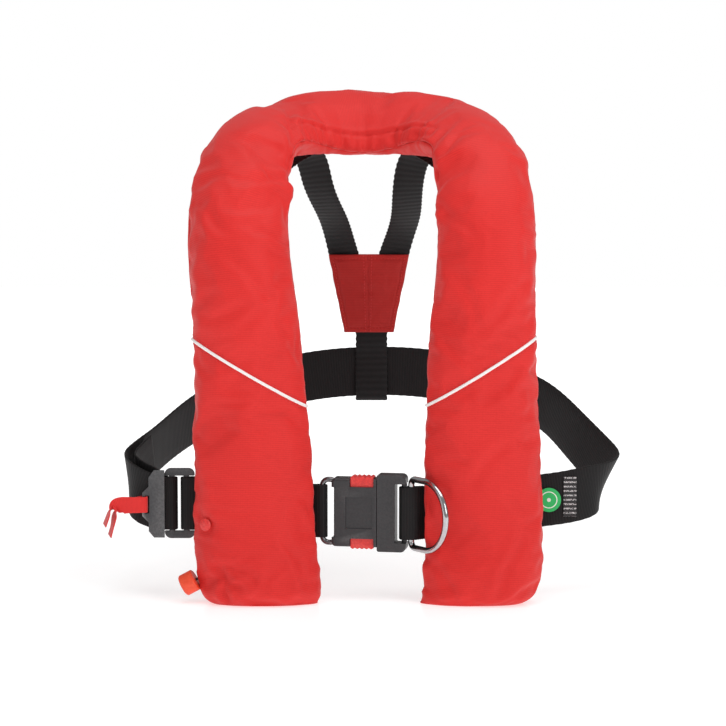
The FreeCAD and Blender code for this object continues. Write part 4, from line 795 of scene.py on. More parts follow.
def buildCover():
    rows, around = coverSkin.shape[:2]
    vertices = [tuple(p * mm) for p in coverSkin.reshape(-1, 3)]
    faces, uvs, panels = [], [], []
    half = around // 2
    for i in range(rows - 1):
        for j in range(around):
            k = (j + 1) % around
            faces.append((i * around + j, i * around + k, (i + 1) * around + k, (i + 1) * around + j))
            v0 = arcCover[j] * mm
            v1 = (arcCover[k] if k else aroundLength) * mm
            u0, u1 = sCover[i] * mm, sCover[i + 1] * mm
            uvs += [(u0, v0), (u0, v1), (u1, v1), (u1, v0)]
            panels.append(0 if j < half else 3)
    # close both ends with rings that draw in to a flat, slightly hollow bottom
    for row, flipEnd in ((0, True), (rows - 1, False)):
        ring = coverSkin[row]
        centre = ring.mean(0)
        start = len(vertices)
        previous = [row * around + j for j in range(around)]
        for share, rise in ((0.93, 1.0), (0.8, 2.6), (0.55, 4.0), (0.25, 4.6)):
            base = len(vertices)
            for j in range(around):
                p = centre + (ring[j] - centre) * share
                vertices.append((p[0] * mm, p[1] * mm, rise * mm))
            for j in range(around):
                k = (j + 1) % around
                quad = (previous[j], previous[k], base + k, base + j)
                faces.append(quad[::-1] if flipEnd else quad)
                uvs += [(p[0], p[1]) for p in (vertices[q] for q in faces[-1])]
                panels.append(3)
            previous = [base + j for j in range(around)]
        tip = len(vertices)
        vertices.append((centre[0] * mm, centre[1] * mm, 4.7 * mm))
        for j in range(around):
            k = (j + 1) % around
            tri = (previous[j], previous[k], tip)
            faces.append(tri[::-1] if flipEnd else tri)
            uvs += [(vertices[q][0], vertices[q][1]) for q in faces[-1]]
            panels.append(3)
    return vertices, faces, uvs, panels


def splitCover():
    vertices, faces, uvs, panels = buildCover()
    whole = showMesh("coverWhole", vertices, faces, coverRed, uvs)
    work = bmesh.new()
    work.from_mesh(whole.data)
    work.faces.ensure_lookup_table()
    tag = work.faces.layers.int.new("panel")
    for face, panel in zip(work.faces, panels):
        face[tag] = panel
    for side, name in ((-1, "left"), (1, "right")):
        (x0, z0), (x1, z1) = seams[name]
        place = Vector((side * x0 * mm, 0, z0 * mm))
        normal = Vector((-side * (z1 - z0), 0, x1 - x0)).normalized()
        lobe = [
            f
            for f in work.faces
            if f[tag] == 0 and f.calc_center_median().x * side > 0 and f.calc_center_median().z < 0.32
        ]
        geometry = list({e for f in lobe for e in f.edges}) + list({v for f in lobe for v in f.verts}) + lobe
        bmesh.ops.bisect_plane(work, geom=geometry, plane_co=place, plane_no=normal, dist=1e-6)
        for face in work.faces:
            centre = face.calc_center_median()
            if face[tag] == 0 and centre.x * side > 0 and centre.z < 0.32 and (centre - place).dot(normal) < 0:
                face[tag] = 1 if side < 0 else 2
    names = {0: "coverUpperPanel", 1: "coverLowerLeftPanel", 2: "coverLowerRightPanel", 3: "coverBackPanel"}
    pieces = {}
    for value, name in names.items():
        part = work.copy()
        layer = part.faces.layers.int["panel"]
        bmesh.ops.delete(part, geom=[f for f in part.faces if f[layer] != value], context="FACES")
        mesh = bpy.data.meshes.new(name)
        part.to_mesh(mesh)
        part.free()
        mesh.materials.clear()
        mesh.materials.append(coverRed)
        mesh.polygons.foreach_set("use_smooth", [True] * len(mesh.polygons))
        piece = bpy.data.objects.new(name, mesh)
        bpy.context.scene.collection.objects.link(piece)
        pieces[name] = piece
    work.free()
    bpy.data.objects.remove(whole)
    return pieces


coverPieces = splitCover()
for name, piece in coverPieces.items():
    wall = piece.modifiers.new("wall", "SOLIDIFY")
    wall.thickness = cover["thickness"] * mm
    wall.offset = -1
    wall.use_even_offset = False
    applyModifiers(piece)
print("cover panels", {name: len(piece.data.polygons) for name, piece in coverPieces.items()})


# tubes and stitches along a path, by geometry nodes

def makeTubeTree(material, name):
    tree = bpy.data.node_groups.new(name, "GeometryNodeTree")
    tree.interface.new_socket(name="Geometry", in_out="INPUT", socket_type="NodeSocketGeometry")
    radius = tree.interface.new_socket(name="Radius", in_out="INPUT", socket_type="NodeSocketFloat")
    step = tree.interface.new_socket(name="Step", in_out="INPUT", socket_type="NodeSocketFloat")
    tree.interface.new_socket(name="Geometry", in_out="OUTPUT", socket_type="NodeSocketGeometry")
    start, end = tree.nodes.new("NodeGroupInput"), tree.nodes.new("NodeGroupOutput")
    curve = tree.nodes.new("GeometryNodeMeshToCurve")
    even = tree.nodes.new("GeometryNodeResampleCurve")
    even.mode = "LENGTH"
    circle = tree.nodes.new("GeometryNodeCurvePrimitiveCircle")
    circle.inputs["Resolution"].default_value = 10
    tube = tree.nodes.new("GeometryNodeCurveToMesh")
    tube.inputs["Fill Caps"].default_value = True
    real = tree.nodes.new("GeometryNodeRealizeInstances")
    smooth = tree.nodes.new("GeometryNodeSetShadeSmooth")
    paint = tree.nodes.new("GeometryNodeSetMaterial")
    paint.inputs["Material"].default_value = material
    links = tree.links
    links.new(start.outputs["Geometry"], curve.inputs[0])
    links.new(curve.outputs[0], even.inputs["Curve"])
    links.new(start.outputs["Step"], even.inputs["Length"])
    links.new(start.outputs["Radius"], circle.inputs["Radius"])
    links.new(even.outputs[0], tube.inputs["Curve"])
    links.new(circle.outputs[0], tube.inputs["Profile Curve"])
    links.new(tube.outputs[0], smooth.inputs[0])
    links.new(smooth.outputs[0], real.inputs[0])
    links.new(real.outputs[0], paint.inputs["Geometry"])
    links.new(paint.outputs[0], end.inputs[0])
    return tree, {"Radius": radius.identifier, "Step": step.identifier}


def makeStitchTree(material, name):
    # one thread capsule after another along the edges of the mesh, lying on the path
    tree = bpy.data.node_groups.new(name, "GeometryNodeTree")
    tree.interface.new_socket(name="Geometry", in_out="INPUT", socket_type="NodeSocketGeometry")
    sockets = {}
    for label in ("Pitch", "Length", "Thickness"):
        sockets[label] = tree.interface.new_socket(
            name=label, in_out="INPUT", socket_type="NodeSocketFloat",
        ).identifier
    tree.interface.new_socket(name="Geometry", in_out="OUTPUT", socket_type="NodeSocketGeometry")
    start, end = tree.nodes.new("NodeGroupInput"), tree.nodes.new("NodeGroupOutput")
    curve = tree.nodes.new("GeometryNodeMeshToCurve")
    points = tree.nodes.new("GeometryNodeCurveToPoints")
    points.mode = "LENGTH"
    ball = tree.nodes.new("GeometryNodeMeshUVSphere")
    ball.inputs["Segments"].default_value = 6
    ball.inputs["Rings"].default_value = 5
    ball.inputs["Radius"].default_value = 0.5
    size = tree.nodes.new("ShaderNodeCombineXYZ")
    place = tree.nodes.new("GeometryNodeInstanceOnPoints")
    real = tree.nodes.new("GeometryNodeRealizeInstances")
    smooth = tree.nodes.new("GeometryNodeSetShadeSmooth")
    paint = tree.nodes.new("GeometryNodeSetMaterial")
    paint.inputs["Material"].default_value = material
    links = tree.links
    links.new(start.outputs["Geometry"], curve.inputs[0])
    links.new(curve.outputs[0], points.inputs[0])
    links.new(start.outputs["Pitch"], points.inputs["Length"])
    links.new(points.outputs["Points"], place.inputs["Points"])
    links.new(points.outputs["Rotation"], place.inputs["Rotation"])
    links.new(ball.outputs[0], place.inputs["Instance"])
    links.new(start.outputs["Thickness"], size.inputs[0])
    links.new(start.outputs["Thickness"], size.inputs[1])
    links.new(start.outputs["Length"], size.inputs[2])
    links.new(size.outputs[0], place.inputs["Scale"])
    links.new(place.outputs[0], smooth.inputs[0])
    links.new(smooth.outputs[0], real.inputs[0])
    links.new(real.outputs[0], paint.inputs["Geometry"])
    links.new(paint.outputs[0], end.inputs[0])
    return tree, sockets


def runTree(name, paths, tree, sockets, values):
    vertices, edges = [], []
    for path in paths:
        base = len(vertices)
        vertices += [tuple(p) for p in path]
        edges += [(base + i, base + i + 1) for i in range(len(path) - 1)]
    mesh = bpy.data.meshes.new(name)
    mesh.from_pydata(vertices, edges, [])
    piece = bpy.data.objects.new(name, mesh)
    bpy.context.scene.collection.objects.link(piece)
    modifier = piece.modifiers.new("along", "NODES")
    modifier.node_group = tree
    for label, value in values.items():
        modifier[sockets[label]] = value
    return applyModifiers(piece)


stitching = {
    "cover": {"Pitch": 0.0034, "Length": 0.0024, "Thickness": 0.0005},
    "belt": {"Pitch": 0.0034, "Length": 0.0024, "Thickness": 0.0007},
    "patch": {"Pitch": 0.0032, "Length": 0.0022, "Thickness": 0.0006},
}
redStitches = makeStitchTree(stitchRed, "redStitches")
blackStitches = makeStitchTree(stitchBlack, "blackStitches")
pipingTree = makeTubeTree(pipingWhite, "pipingTube")


def diagonalPath(side, lift, shift=0.0):
    # where the front panel meets the lower one, in order from the inner to the outer edge
    (x0, z0), (x1, z1) = seams["left" if side < 0 else "right"]
    found = []
    for j, angle in enumerate(angleCover):
        if not 0.06 < angle < math.pi - 0.04:
            continue
        rows = coverSkin[:, j]
        rows = rows[: len(rows) // 2] if side < 0 else rows[len(rows) // 2:]
        half = coverNormal.shape[0] // 2
        normals = coverNormal[:half, j] if side < 0 else coverNormal[half:, j]
        low = rows[:, 2] < 330
        gap = (rows[:, 2] - z0) * (x1 - x0) - (rows[:, 0] * side - x0) * (z1 - z0)
        gap = np.where(low, gap - shift * math.hypot(x1 - x0, z1 - z0), 1e9)
        k = int(np.argmin(np.abs(gap)))
        order = [q for q in (k - 1, k + 1) if 0 <= q < len(rows) and gap[q] * gap[k] < 0]
        p, n = rows[k], normals[k]
        if order:
            q = order[0]
            f = gap[k] / (gap[k] - gap[q])
            p = rows[k] * (1 - f) + rows[q] * f
        found.append(tuple((p + n * lift) * mm))
    return found


for side, name, node in ((-1, "pipingLeft", "piping_left"), (1, "pipingRight", "piping_right")):
    piece = runTree(
        name, [diagonalPath(side, 0.35)], *pipingTree, {"Radius": seams["pipingRadius"] * mm, "Step": 0.004},
    )
    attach(piece, root)
    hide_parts(node)
rows = [diagonalPath(side, 0.15, shift) for side in (-1, 1) for shift in (3.4, -3.4)]
piece = runTree("coverStitches", rows, *redStitches, stitching["cover"])
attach(piece, root)
print("piping done")


# webbing

def strapMesh(
    name, points, across, width, thickness, material, step=2.5, scallop=0.0, scallopPitch=6.2, smoothed=True,
):
    # a flat strip with rounded selvedges; UV is its length and its width in metres
    points, across = np.array(points, float), unit(np.array(across, float))
    knots = np.concatenate([[0], np.cumsum(np.linalg.norm(np.diff(points, axis=0), axis=1))])
    count = max(2, int(knots[-1] / step))
    s = np.linspace(0, knots[-1], count + 1)
    if smoothed:
        line = naturalSpline(knots, points, s)
        wide = naturalSpline(knots, across, s)
    else:
        line = np.stack([np.interp(s, knots, points[:, i]) for i in range(3)], 1)
        wide = np.stack([np.interp(s, knots, across[:, i]) for i in range(3)], 1)
    alongLine = unit(np.gradient(line, axis=0))
    wide = unit(wide - alongLine * np.sum(alongLine * wide, 1, keepdims=True))
    normal = np.cross(alongLine, wide)
    h, t = width / 2, thickness / 2
    r = t * 0.85
    profile = []
    for cx, cy, a0 in ((h - r, t - r, 0), (-h + r, t - r, 90), (-h + r, -t + r, 180), (h - r, -t + r, 270)):
        for a in (0, 30, 60, 90):
            profile.append((cx + r * math.cos(math.radians(a0 + a)), cy + r * math.sin(math.radians(a0 + a))))
        if a0 in (0, 180):
            sign = 1 if a0 == 0 else -1
            for f in (0.6, 0.2, -0.2, -0.6):
                profile.append((sign * f * (h - r), sign * t))
    girth = np.concatenate(
        [
            [0],
            np.cumsum([math.dist(profile[i], profile[(i + 1) % len(profile)]) for i in range(len(profile))]),
        ]
    )
    vertices, uvs, faces = [], [], []
    n = len(profile)
    for i in range(count + 1):
        wave = 1 + scallop / h * math.sin(2 * math.pi * s[i] / scallopPitch)
        for x, y in profile:
            vertices.append(tuple((line[i] + wide[i] * x * wave + normal[i] * y) * mm))
    for i in range(count):
        for j in range(n):
            k = (j + 1) % n
            faces.append((i * n + j, i * n + k, (i + 1) * n + k, (i + 1) * n + j))
            uvs += [
                (s[i] * mm, girth[j] * mm), (s[i] * mm, girth[j + 1] * mm),
                (s[i + 1] * mm, girth[j + 1] * mm), (s[i + 1] * mm, girth[j] * mm),
            ]
    faces.append(tuple(range(n))[::-1])
    uvs += [(0.0, girth[j] * mm) for j in range(n)][::-1]
    faces.append(tuple(count * n + j for j in range(n)))
    uvs += [(s[-1] * mm, girth[j] * mm) for j in range(n)]
    piece = showMesh(name, vertices, faces, material, uvs)
    work = bmesh.new()
    work.from_mesh(piece.data)
    bmesh.ops.recalc_face_normals(work, faces=work.faces)
    work.to_mesh(piece.data)
    work.free()
    return piece, line, wide, normal


def arcPoints(centre, radius, start, end, count=8):
    return [
        (
            centre[0] + radius * math.cos(math.radians(start + (end - start) * i / count)),
            centre[1] + radius * math.sin(math.radians(start + (end - start) * i / count)),
        )
        for i in range(count + 1)
    ]


buckle = {"centre": (6, -108, 84), "turn": -10}
turnCos, turnSin = math.cos(math.radians(buckle["turn"])), math.sin(math.radians(buckle["turn"]))


def buckleToFrame(x, y, z=0.0):
    cx, cy, cz = buckle["centre"]
    return (cx + x * turnCos - y * turnSin, cy + x * turnSin + y * turnCos, cz + z)


belt = {
    "width": 50, "thickness": 2.2,
    "route": [
        ((60.2, -110.9, 84), (0, 0, 1)), ((70, -105.1, 84.5), (0, 0, 1)), ((87, -98, 85), (0, 0, 1)),
        ((112, -93.8, 87), (0, 0, 1)), ((140, -92.3, 89), (0, 0, 1)),
        ((168, -89.8, 92), (.02, 0, 1)), ((196, -88.8, 96), (.1, 0, 1)), ((222, -80, 103), (.3, 0, .95)),
        ((233, -62, 110), (.42, -.1, .9)), ((230, -34, 119), (.38, -.2, .9)),
        ((208, 12, 141), (.3, -.3, .9)), ((177, 66, 166), (.15, -.25, .95)), ((122, 118, 180), (.05, -.1, 1)),
        ((60, 147, 188), (0, 0, 1)), ((6, 156, 189), (0, 0, 1)),
        ((-50, 149, 185), (0, 0, 1)), ((-112, 122, 172), (-.03, -.1, 1)), ((-169, 66, 150), (0, -.2, .97)),
        ((-206, -8, 126), (0, -.28, .95)), ((-220, -50, 116), (-.08, -.1, .99)),
        ((-223, -72, 110), (-.11, 0, .99)), ((-215, -91, 101), (-.05, 0, 1)),
        ((-196.5, -100, 92.5), (0, 0, 1)), ((-186, -99.8, 90.8), (0, 0, 1)),
        ((-180.5, -99.4, 90.5), (0, 0, 1)),
    ],
    "bar": (-180.5, -95), "wrap": 4.37,
    "freeEnd": [
        (-190.5, -90.3, 91.5), (-197, -87.6, 95.5), (-210, -80, 103.5), (-216, -68, 108.5),
        (-213, -50, 114.5), (-203, -22, 122.5),
    ],
}


adjuster = {"bar": -167, "depth": -95, "height": 90.5, "wrap": 4.37, "plane": -87.3}
ringLoop = {"bar": -45, "wrap": 3.9, "layer": 1.3, "rows": (5, 8)}
tongue = {"bar": 34, "wrap": 4.6, "over": 4.6, "middle": 6.6}
sewing = {"half": 21, "lift": 1.2, "points": 16}


def boxStitch(line, wide, normal, first, last, half, lift):
    # four rows round a sewn stretch of webbing, and a cross inside it
    span = range(first, last + 1)
    def at(i, w):
        return tuple((line[i] + wide[i] * w + normal[i] * lift) * mm)
    rows = [[at(i, half) for i in span], [at(i, -half) for i in span]]
    rows += [[at(i, w) for w in np.linspace(-half, half, 16)] for i in (first, last)]
    share = [(i - first) / max(1, last - first) for i in span]
    rows += [
        [at(i, half * (2 * f - 1)) for i, f in zip(span, share)],
        [at(i, half * (1 - 2 * f)) for i, f in zip(span, share)],
    ]
    return rows


def beltStrip(name, node, body, path, across, step):
    strip = strapMesh(name, path, across, belt["width"], belt["thickness"], beltBlack, step, 0.12, 2.6)
    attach(strip[0], body)
    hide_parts(node)
    return strip


def buildBelts():
    up = (0, 0, 1)
    half, lift = sewing["half"], sewing["lift"]
    # round the body and through the adjuster
    level = adjuster["height"]
    back = [(x, y, level) for x, y in arcPoints(belt["bar"], belt["wrap"], -90, 90)[1:]] + belt["freeEnd"]
    points = [p for p, a in belt["route"]] + back
    across = [a for p, a in belt["route"]] + [up] * len(back)
    line, wide, normal = beltStrip("waistBelt", "waist_belt", root, points, across, 2.0)[1:]
    sign = -1 if normal[8][1] > 0 else 1
    sewn = boxStitch(line, wide, normal, 1, 9, half, sign * lift)
    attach(runTree("beltStitches", sewn, *blackStitches, stitching["belt"]), root)
    # from the adjuster to the left lobe
    bar, depth, wrap, plane = adjuster["bar"], adjuster["depth"], adjuster["wrap"], adjuster["plane"]
    path = [(-124, plane - 2.6, 88.5), (-138, plane - 3.2, 89.5), (-150, -98, level), (-158, -99.4, level)]
    path += [(x, y, level) for x, y in arcPoints((bar, depth), wrap, -90, -270)]
    path += [(-158, -90.6, level), (-150, -89.7, level), (-138, plane - 0.4, 89.5), (-124, plane, 88.5)]
    path += [(-100, plane, 86.5), (-60, plane, 84)]
    beltStrip("adjusterStrap", "adjuster_strap", root, path, [up] * len(path), 1.5)
    # round the ring of the buckle
    bar, wrap, layer = ringLoop["bar"], ringLoop["wrap"], ringLoop["layer"]
    local = [
        (-75, -layer), (-68, -layer), (-60, -layer - 0.3), (-52, -3.0),
    ] + arcPoints((bar, 0), wrap, -90, 90)
    local += [(-52, 3.0), (-60, layer + 0.3), (-68, layer), (-75, layer)]
    path = [buckleToFrame(x, y) for x, y in local]
    line, wide, normal = beltStrip(
        "buckleStrap", "buckle_strap", "buckle_half", path, [up] * len(path), 1.2,
    )[1:]
    sign = -1 if normal[8][1] > 0 else 1
    shares = np.linspace(-half, half, sewing["points"])
    sewn = [
        [tuple((line[i] + wide[i] * w + normal[i] * sign * lift) * mm) for w in shares]
        for i in ringLoop["rows"]
    ]
    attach(runTree("buckleStrapStitches", sewn, *blackStitches, stitching["belt"]), "buckle_half")
    # round the bar of the tongue
    bar, wrap, over, middle = tongue["bar"], tongue["wrap"], tongue["over"], tongue["middle"]
    local = [(52.8, middle - layer), (49.5, middle - layer - 2.6), (46.5, -0.6), (43.6, -3.4)]
    local += [(40, -over), (36.5, -wrap - 0.1)] + arcPoints((bar, 0), wrap, -90, -270)
    local += [
        (36.5, wrap + 0.1), (40, over), (43.6, 5.6), (46.5, 6.9), (49.5, middle + layer),
        (52.8, middle + layer),
    ]
    path = [buckleToFrame(x, y) for x, y in local]
    beltStrip("tongueLoop", "tongue_loop", root, path, [up] * len(path), 1.2)


buildBelts()

straps = {
    "width": 30, "thickness": 1.8,
    "left": [
        ((-2.0, 145.6, 242.0), (1, 0, 0)), ((-9.0, 142.8, 270.0), (1, 0, -0.15)),
        ((-14.2, 141.8, 290.0), (1, 0, -0.18)), ((-19.5, 139.7, 310.0), (1, 0, -0.2)),
        ((-30.5, 99.0, 350.1), (1, 0, -0.15)), ((-45.0, 53.5, 388.1), (1, 0, -0.1)),
        ((-55.2, 26.2, 415.6), (1, 0, 0)), ((-82.2, -10.7, 404.6), (0.793, -0.594, -0.132)),
        ((-93.7, -39.6, 390.8), (0.895, -0.439, 0.084)), ((-109.4, -60.2, 366.8), (0.986, -0.162, -0.041)),
        ((-116.2, -77.1, 336.8), (1, 0, 0)), ((-112.2, -84.9, 296.6), (1, 0, 0)),
        ((-107.2, -84.7, 240.1), (1, 0, 0)), ((-104.2, -86.8, 170.1), (1, 0, 0)),
        ((-104.2, -86.8, 136.0), (1, 0, 0)),
    ],
    "right": [
        ((14.0, 148.0, 242.0), (1, 0, 0)), ((21.0, 145.2, 270.0), (1, 0, 0.15)),
        ((26.2, 142.2, 290.0), (1, 0, 0.18)), ((31.5, 139.7, 310.0), (1, 0, 0.2)),
        ((42.5, 99.0, 350.1), (1, 0, 0.15)), ((45.0, 53.5, 388.1), (1, 0, 0.1)),
        ((55.2, 26.2, 415.6), (1, 0, 0)), ((82.2, -10.7, 404.6), (0.793, 0.594, 0.132)),
        ((93.7, -39.6, 390.8), (0.895, 0.439, -0.084)), ((109.4, -60.2, 366.8), (0.988, 0.152, 0.028)),
        ((114.8, -77.1, 336.8), (1, 0, 0)), ((113.7, -84.9, 296.6), (1, 0, 0)),
        ((111.8, -84.7, 240.1), (1, 0, 0)), ((112.0, -87.1, 170.1), (1, 0, 0)),
        ((112.0, -87.1, 136.0), (1, 0, 0)),
    ],
    "loop": [
        (147.3, 237), (148.1, 229), (149.1, 220), (151.6, 212), (152.1, 189), (152.1, 163.5), (153.3, 160.8),
        (156, 159.6), (158.7, 160.8), (159.9, 163.5), (159.9, 189), (159.9, 218),
    ],
    "loopX": 8.7, "loopWidth": 32,
}


def buildStraps():
    for name, node, key in (
        ("shoulderStrapLeft", "shoulder_strap_left", "left"),
        ("shoulderStrapRight", "shoulder_strap_right", "right"),
    ):
        route = straps[key]
        piece = strapMesh(
            name, [p for p, a in route], [a for p, a in route], straps["width"], straps["thickness"],
            strapBlack, 1.5, 0.35, 6.2,
        )[0]
        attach(piece, root)
        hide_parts(node)
    path = [(straps["loopX"], y, z) for y, z in straps["loop"]]
    piece = strapMesh(
        "backStrapLoop", path, [(1, 0, 0)] * len(path), straps["loopWidth"], straps["thickness"], strapBlack,
        1.0, 0.35, 6.2,
    )[0]
    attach(piece, root)
    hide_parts("back_strap_loop")


buildStraps()

keepers = {
    "width": 36, "thickness": 1.1,
    "pieces": (("beltKeeperLeft", "belt_keeper_left"), ("beltKeeperRight", "belt_keeper_right")),
}


def buildKeepers():
    # wide loops behind the lobes, sewn above and below the belt
    for name, node in keepers["pieces"]:
        low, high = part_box(node)
        x, z = (low[0] + high[0]) / 2 / mm, (low[2] + high[2]) / 2 / mm
        near, far, top = low[1] / mm + 0.6, high[1] / mm - 0.6, (high[2] - low[2]) / 2 / mm
        deep = far - near
        half = [
            (near, top - 0.1), (near + 0.1, top - 1.3), (near + 0.35 * deep, top - 3.4),
            (near + 0.7 * deep, top - 5.8),
        ]
        half += [(far - 0.9, top - 7.6), (far - 0.2, top - 9.4), (far, top - 13), (far, top - 25)]
        path = [(x, y, z + h) for y, h in half] + [(x, far, z)] + [(x, y, z - h) for y, h in reversed(half)]
        piece = strapMesh(
            name, path, [(1, 0, 0)] * len(path), keepers["width"], keepers["thickness"], beltBlack, 1.0, 0.12,
            2.6,
        )[0]
        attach(piece, root)
        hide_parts(node)


buildKeepers()

pullTab = {
    "width": 15, "thickness": 1.0,
    "front": [
        ((-204.0, -105.8, 90.5), (0, 0, 1)), ((-207, -106.8, 90.5), (0, 0, 1)),
        ((-214, -107, 90.3), (0, 0, 1)), ((-222, -107.2, 90.6), (.05, 0, 1)),
        ((-230, -107.4, 90.2), (.2, -.1, 1)),
        ((-236.5, -107.6, 87), (.35, -.6, .7)), ((-240, -107.6, 80.5), (.3, -.92, .2)),
        ((-243.5, -107.4, 71), (.3, -.95, .1)),
    ],
    "back": [
        ((-204.4, -100.9, 90.5), (0, 0, 1)), ((-207.5, -100.4, 90.5), (0, 0, 1)),
        ((-210.6, -101.8, 90.5), (0, 0, 1)), ((-214, -104.6, 90.2), (0, 0, 1)),
        ((-222, -105.4, 89.7), (.05, 0, 1)),
        ((-229, -105.4, 88), (.2, -.1, .95)), ((-233.5, -105.2, 82), (.4, -.7, .5)),
        ((-236, -104.8, 72), (.3, -.93, .15)), ((-239, -104.4, 60.5), (.3, -.95, .1)),
    ],
    "turn": [
        ((-203.6, -104.6, 90.5), (0, 0, 1)), ((-203.3, -103.3, 90.5), (0, 0, 1)),
        ((-203.6, -102, 90.5), (0, 0, 1)),
    ],
}


def buildPullTab():
    route = list(reversed(pullTab["front"])) + pullTab["turn"] + pullTab["back"]
    piece = strapMesh(
        "pullTab", [p for p, a in route], [a for p, a in route], pullTab["width"], pullTab["thickness"],
        pullTabRed, 0.8,
    )[0]
    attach(piece, "lock_plate")
    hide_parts("adjuster_pull_tab")


buildPullTab()
print("webbing done")


# yoke patch: two layers with a folded hem and a seam down the middle

yoke = {"middle": 6, "low": 230, "height": 80, "topHalf": 41, "lowHalf": 25, "thickness": 1.2, "hem": 5}


def yokeDepth(z):
    return 148 - 8 * (z - yoke["low"]) / yoke["height"]


def patchHeight(x, z, half):
    t = (x - yoke["middle"]) / half
    share = (z - yoke["low"]) / yoke["height"]
    edge = max(0.0, min((1 - abs(t)) * half, (1 - share) * yoke["height"], share * yoke["height"]))
    puff = 1.3 * (1 - math.exp(-edge / 7))
    hem = -0.9 * math.exp(-((edge - yoke["hem"]) / 0.9) ** 2)
    seam = -1.1 * math.exp(-((x - yoke["middle"] + 1) / 1.2) ** 2)
    crease = 1.1 * noise.noise(Vector((x / 16, z / 11, 3.1))) + 0.5 * noise.noise(Vector((x / 5, z / 14, 7.7)))
    nearSeam = math.exp(-((abs(x - yoke["middle"] + 1) - 3) / 2.5) ** 2)
    pull = 0.5 * math.sin(z / 2.3 + 2 * noise.noise(Vector((z / 10, 1.0, 4.0)))) * nearSeam
    return puff + hem + seam + (crease + pull) * min(1, edge / 6)


def patchPoint(share, t, offset, outwardSign, above=0.0):
    z = yoke["low"] + yoke["height"] * share
    half = yoke["lowHalf"] * (1 - share) + yoke["topHalf"] * share
    x = yoke["middle"] + half * t
    waver = 0.7 * noise.noise(Vector((z / 12, t, 8.2))) * abs(t)
    y = yokeDepth(z) + offset + outwardSign * (patchHeight(x, z, half) + above)
    return ((x + waver) * mm, y * mm, z * mm)


def buildPatch(name, node, offset, outwardSign):
    columns, rows = 72, 70
    vertices = [
        patchPoint(i / rows, 2 * j / columns - 1, offset, outwardSign)
        for i in range(rows + 1)
        for j in range(columns + 1)
    ]
    uvs = [(v[2], v[0]) for v in vertices]
    faces = []
    for i in range(rows):
        for j in range(columns):
            a = i * (columns + 1) + j
            quad = (a, a + 1, a + columns + 2, a + columns + 1)
            faces.append(quad if outwardSign < 0 else quad[::-1])
    piece = showMesh(name, vertices, faces, patchRed, uvs)
    wall = piece.modifiers.new("wall", "SOLIDIFY")
    wall.thickness = yoke["thickness"] * mm
    wall.offset = -1
    applyModifiers(piece)
    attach(piece, root)
    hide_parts(node)
    return piece


def patchStitches():
    paths = []
    for offset, sign in ((-3.9, -1), (3.9, 1)):
        for share in (0.055, 0.945):
            paths.append([patchPoint(share, t, offset, sign, 0.1) for t in np.linspace(-0.9, 0.9, 40)])
        for t in (-0.9, 0.9):
            paths.append([patchPoint(share, t, offset, sign, 0.1) for share in np.linspace(0.055, 0.945, 40)])
        for t in (-0.13, 0.07):
            paths.append([patchPoint(share, t, offset, sign, 0.1) for share in np.linspace(0.02, 0.98, 44)])
    piece = runTree("patchStitches", paths, *redStitches, stitching["patch"])
    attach(piece, root)


patchStitches()
buildPatch("yokePatchFront", "yoke_patch_front", -3.9, -1)
buildPatch("yokePatchBack", "yoke_patch_back", 3.9, 1)


# the cover's pieces ride on the jacket

for name, replaced in (
    ("coverUpperPanel", ["cover_upper"]),
    ("coverLowerLeftPanel", ["cover_lower_left"]),
    ("coverLowerRightPanel", ["cover_lower_right"]),
    (
        "coverBackPanel",
        [
            "cover_back", "lobe_end_left", "lobe_end_right", "closure_hook_strip", "closure_loop_strip",
            "inner_edge_binding",
        ],
    ),
):
    piece = coverPieces[name]
    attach(piece, root)
    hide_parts(*replaced)


# hard parts: the CAD shape with worked edges

def workedCopy(node, name, material, bevel=0.5, segments=3, angle=32, split=22):
    source = nodes[node]
    mesh = source.data.copy()
    mesh.name = name
    mesh.materials.clear()
    mesh.materials.append(material)
    piece = bpy.data.objects.new(name, mesh)
    bpy.context.scene.collection.objects.link(piece)
    work = bmesh.new()
    work.from_mesh(mesh)
    bmesh.ops.remove_doubles(work, verts=work.verts, dist=2e-6)
    bmesh.ops.dissolve_limit(work, angle_limit=math.radians(0.05), verts=work.verts, edges=work.edges)
    for face in work.faces:
        face.smooth = True
    work.to_mesh(mesh)
    work.free()
    if bevel:
        rounding = piece.modifiers.new("edges", "BEVEL")
        rounding.width = bevel * mm
        rounding.segments = segments
        rounding.limit_method = "ANGLE"
        rounding.angle_limit = math.radians(angle)
        rounding.use_clamp_overlap = True
    applyModifiers(piece)
    piece.data.set_sharp_from_angle(angle=math.radians(split))
    flatter = piece.modifiers.new("flatter", "WEIGHTED_NORMAL")
    flatter.keep_sharp = True
    applyModifiers(piece)
    bodyName = source.get("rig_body")
    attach(piece, bodyName)
    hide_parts(node)
    return piece


hardParts = [
    ("buckle_housing", "buckleHousing", buckleGrey, 0.8, "buckle_grey"),
    ("buckle_tongue", "buckleTongue", buckleGrey, 0.8, "buckle_grey"),
    ("release_button_top", "releaseButtonTop", buttonRed, 0.35, "button_red"),
    ("release_button_bottom", "releaseButtonBottom", buttonRed, 0.35, "button_red"),
    ("adjuster_frame", "adjusterFrame", adjusterSteel, 0.7, "adjuster_steel"),
    ("adjuster_lock_plate", "adjusterLockPlate", adjusterSteel, 0.7, "adjuster_steel"),
]
for node, name, material, bevel, slotName in hardParts:
    piece = workedCopy(node, name, material, bevel)
print("hard parts done")

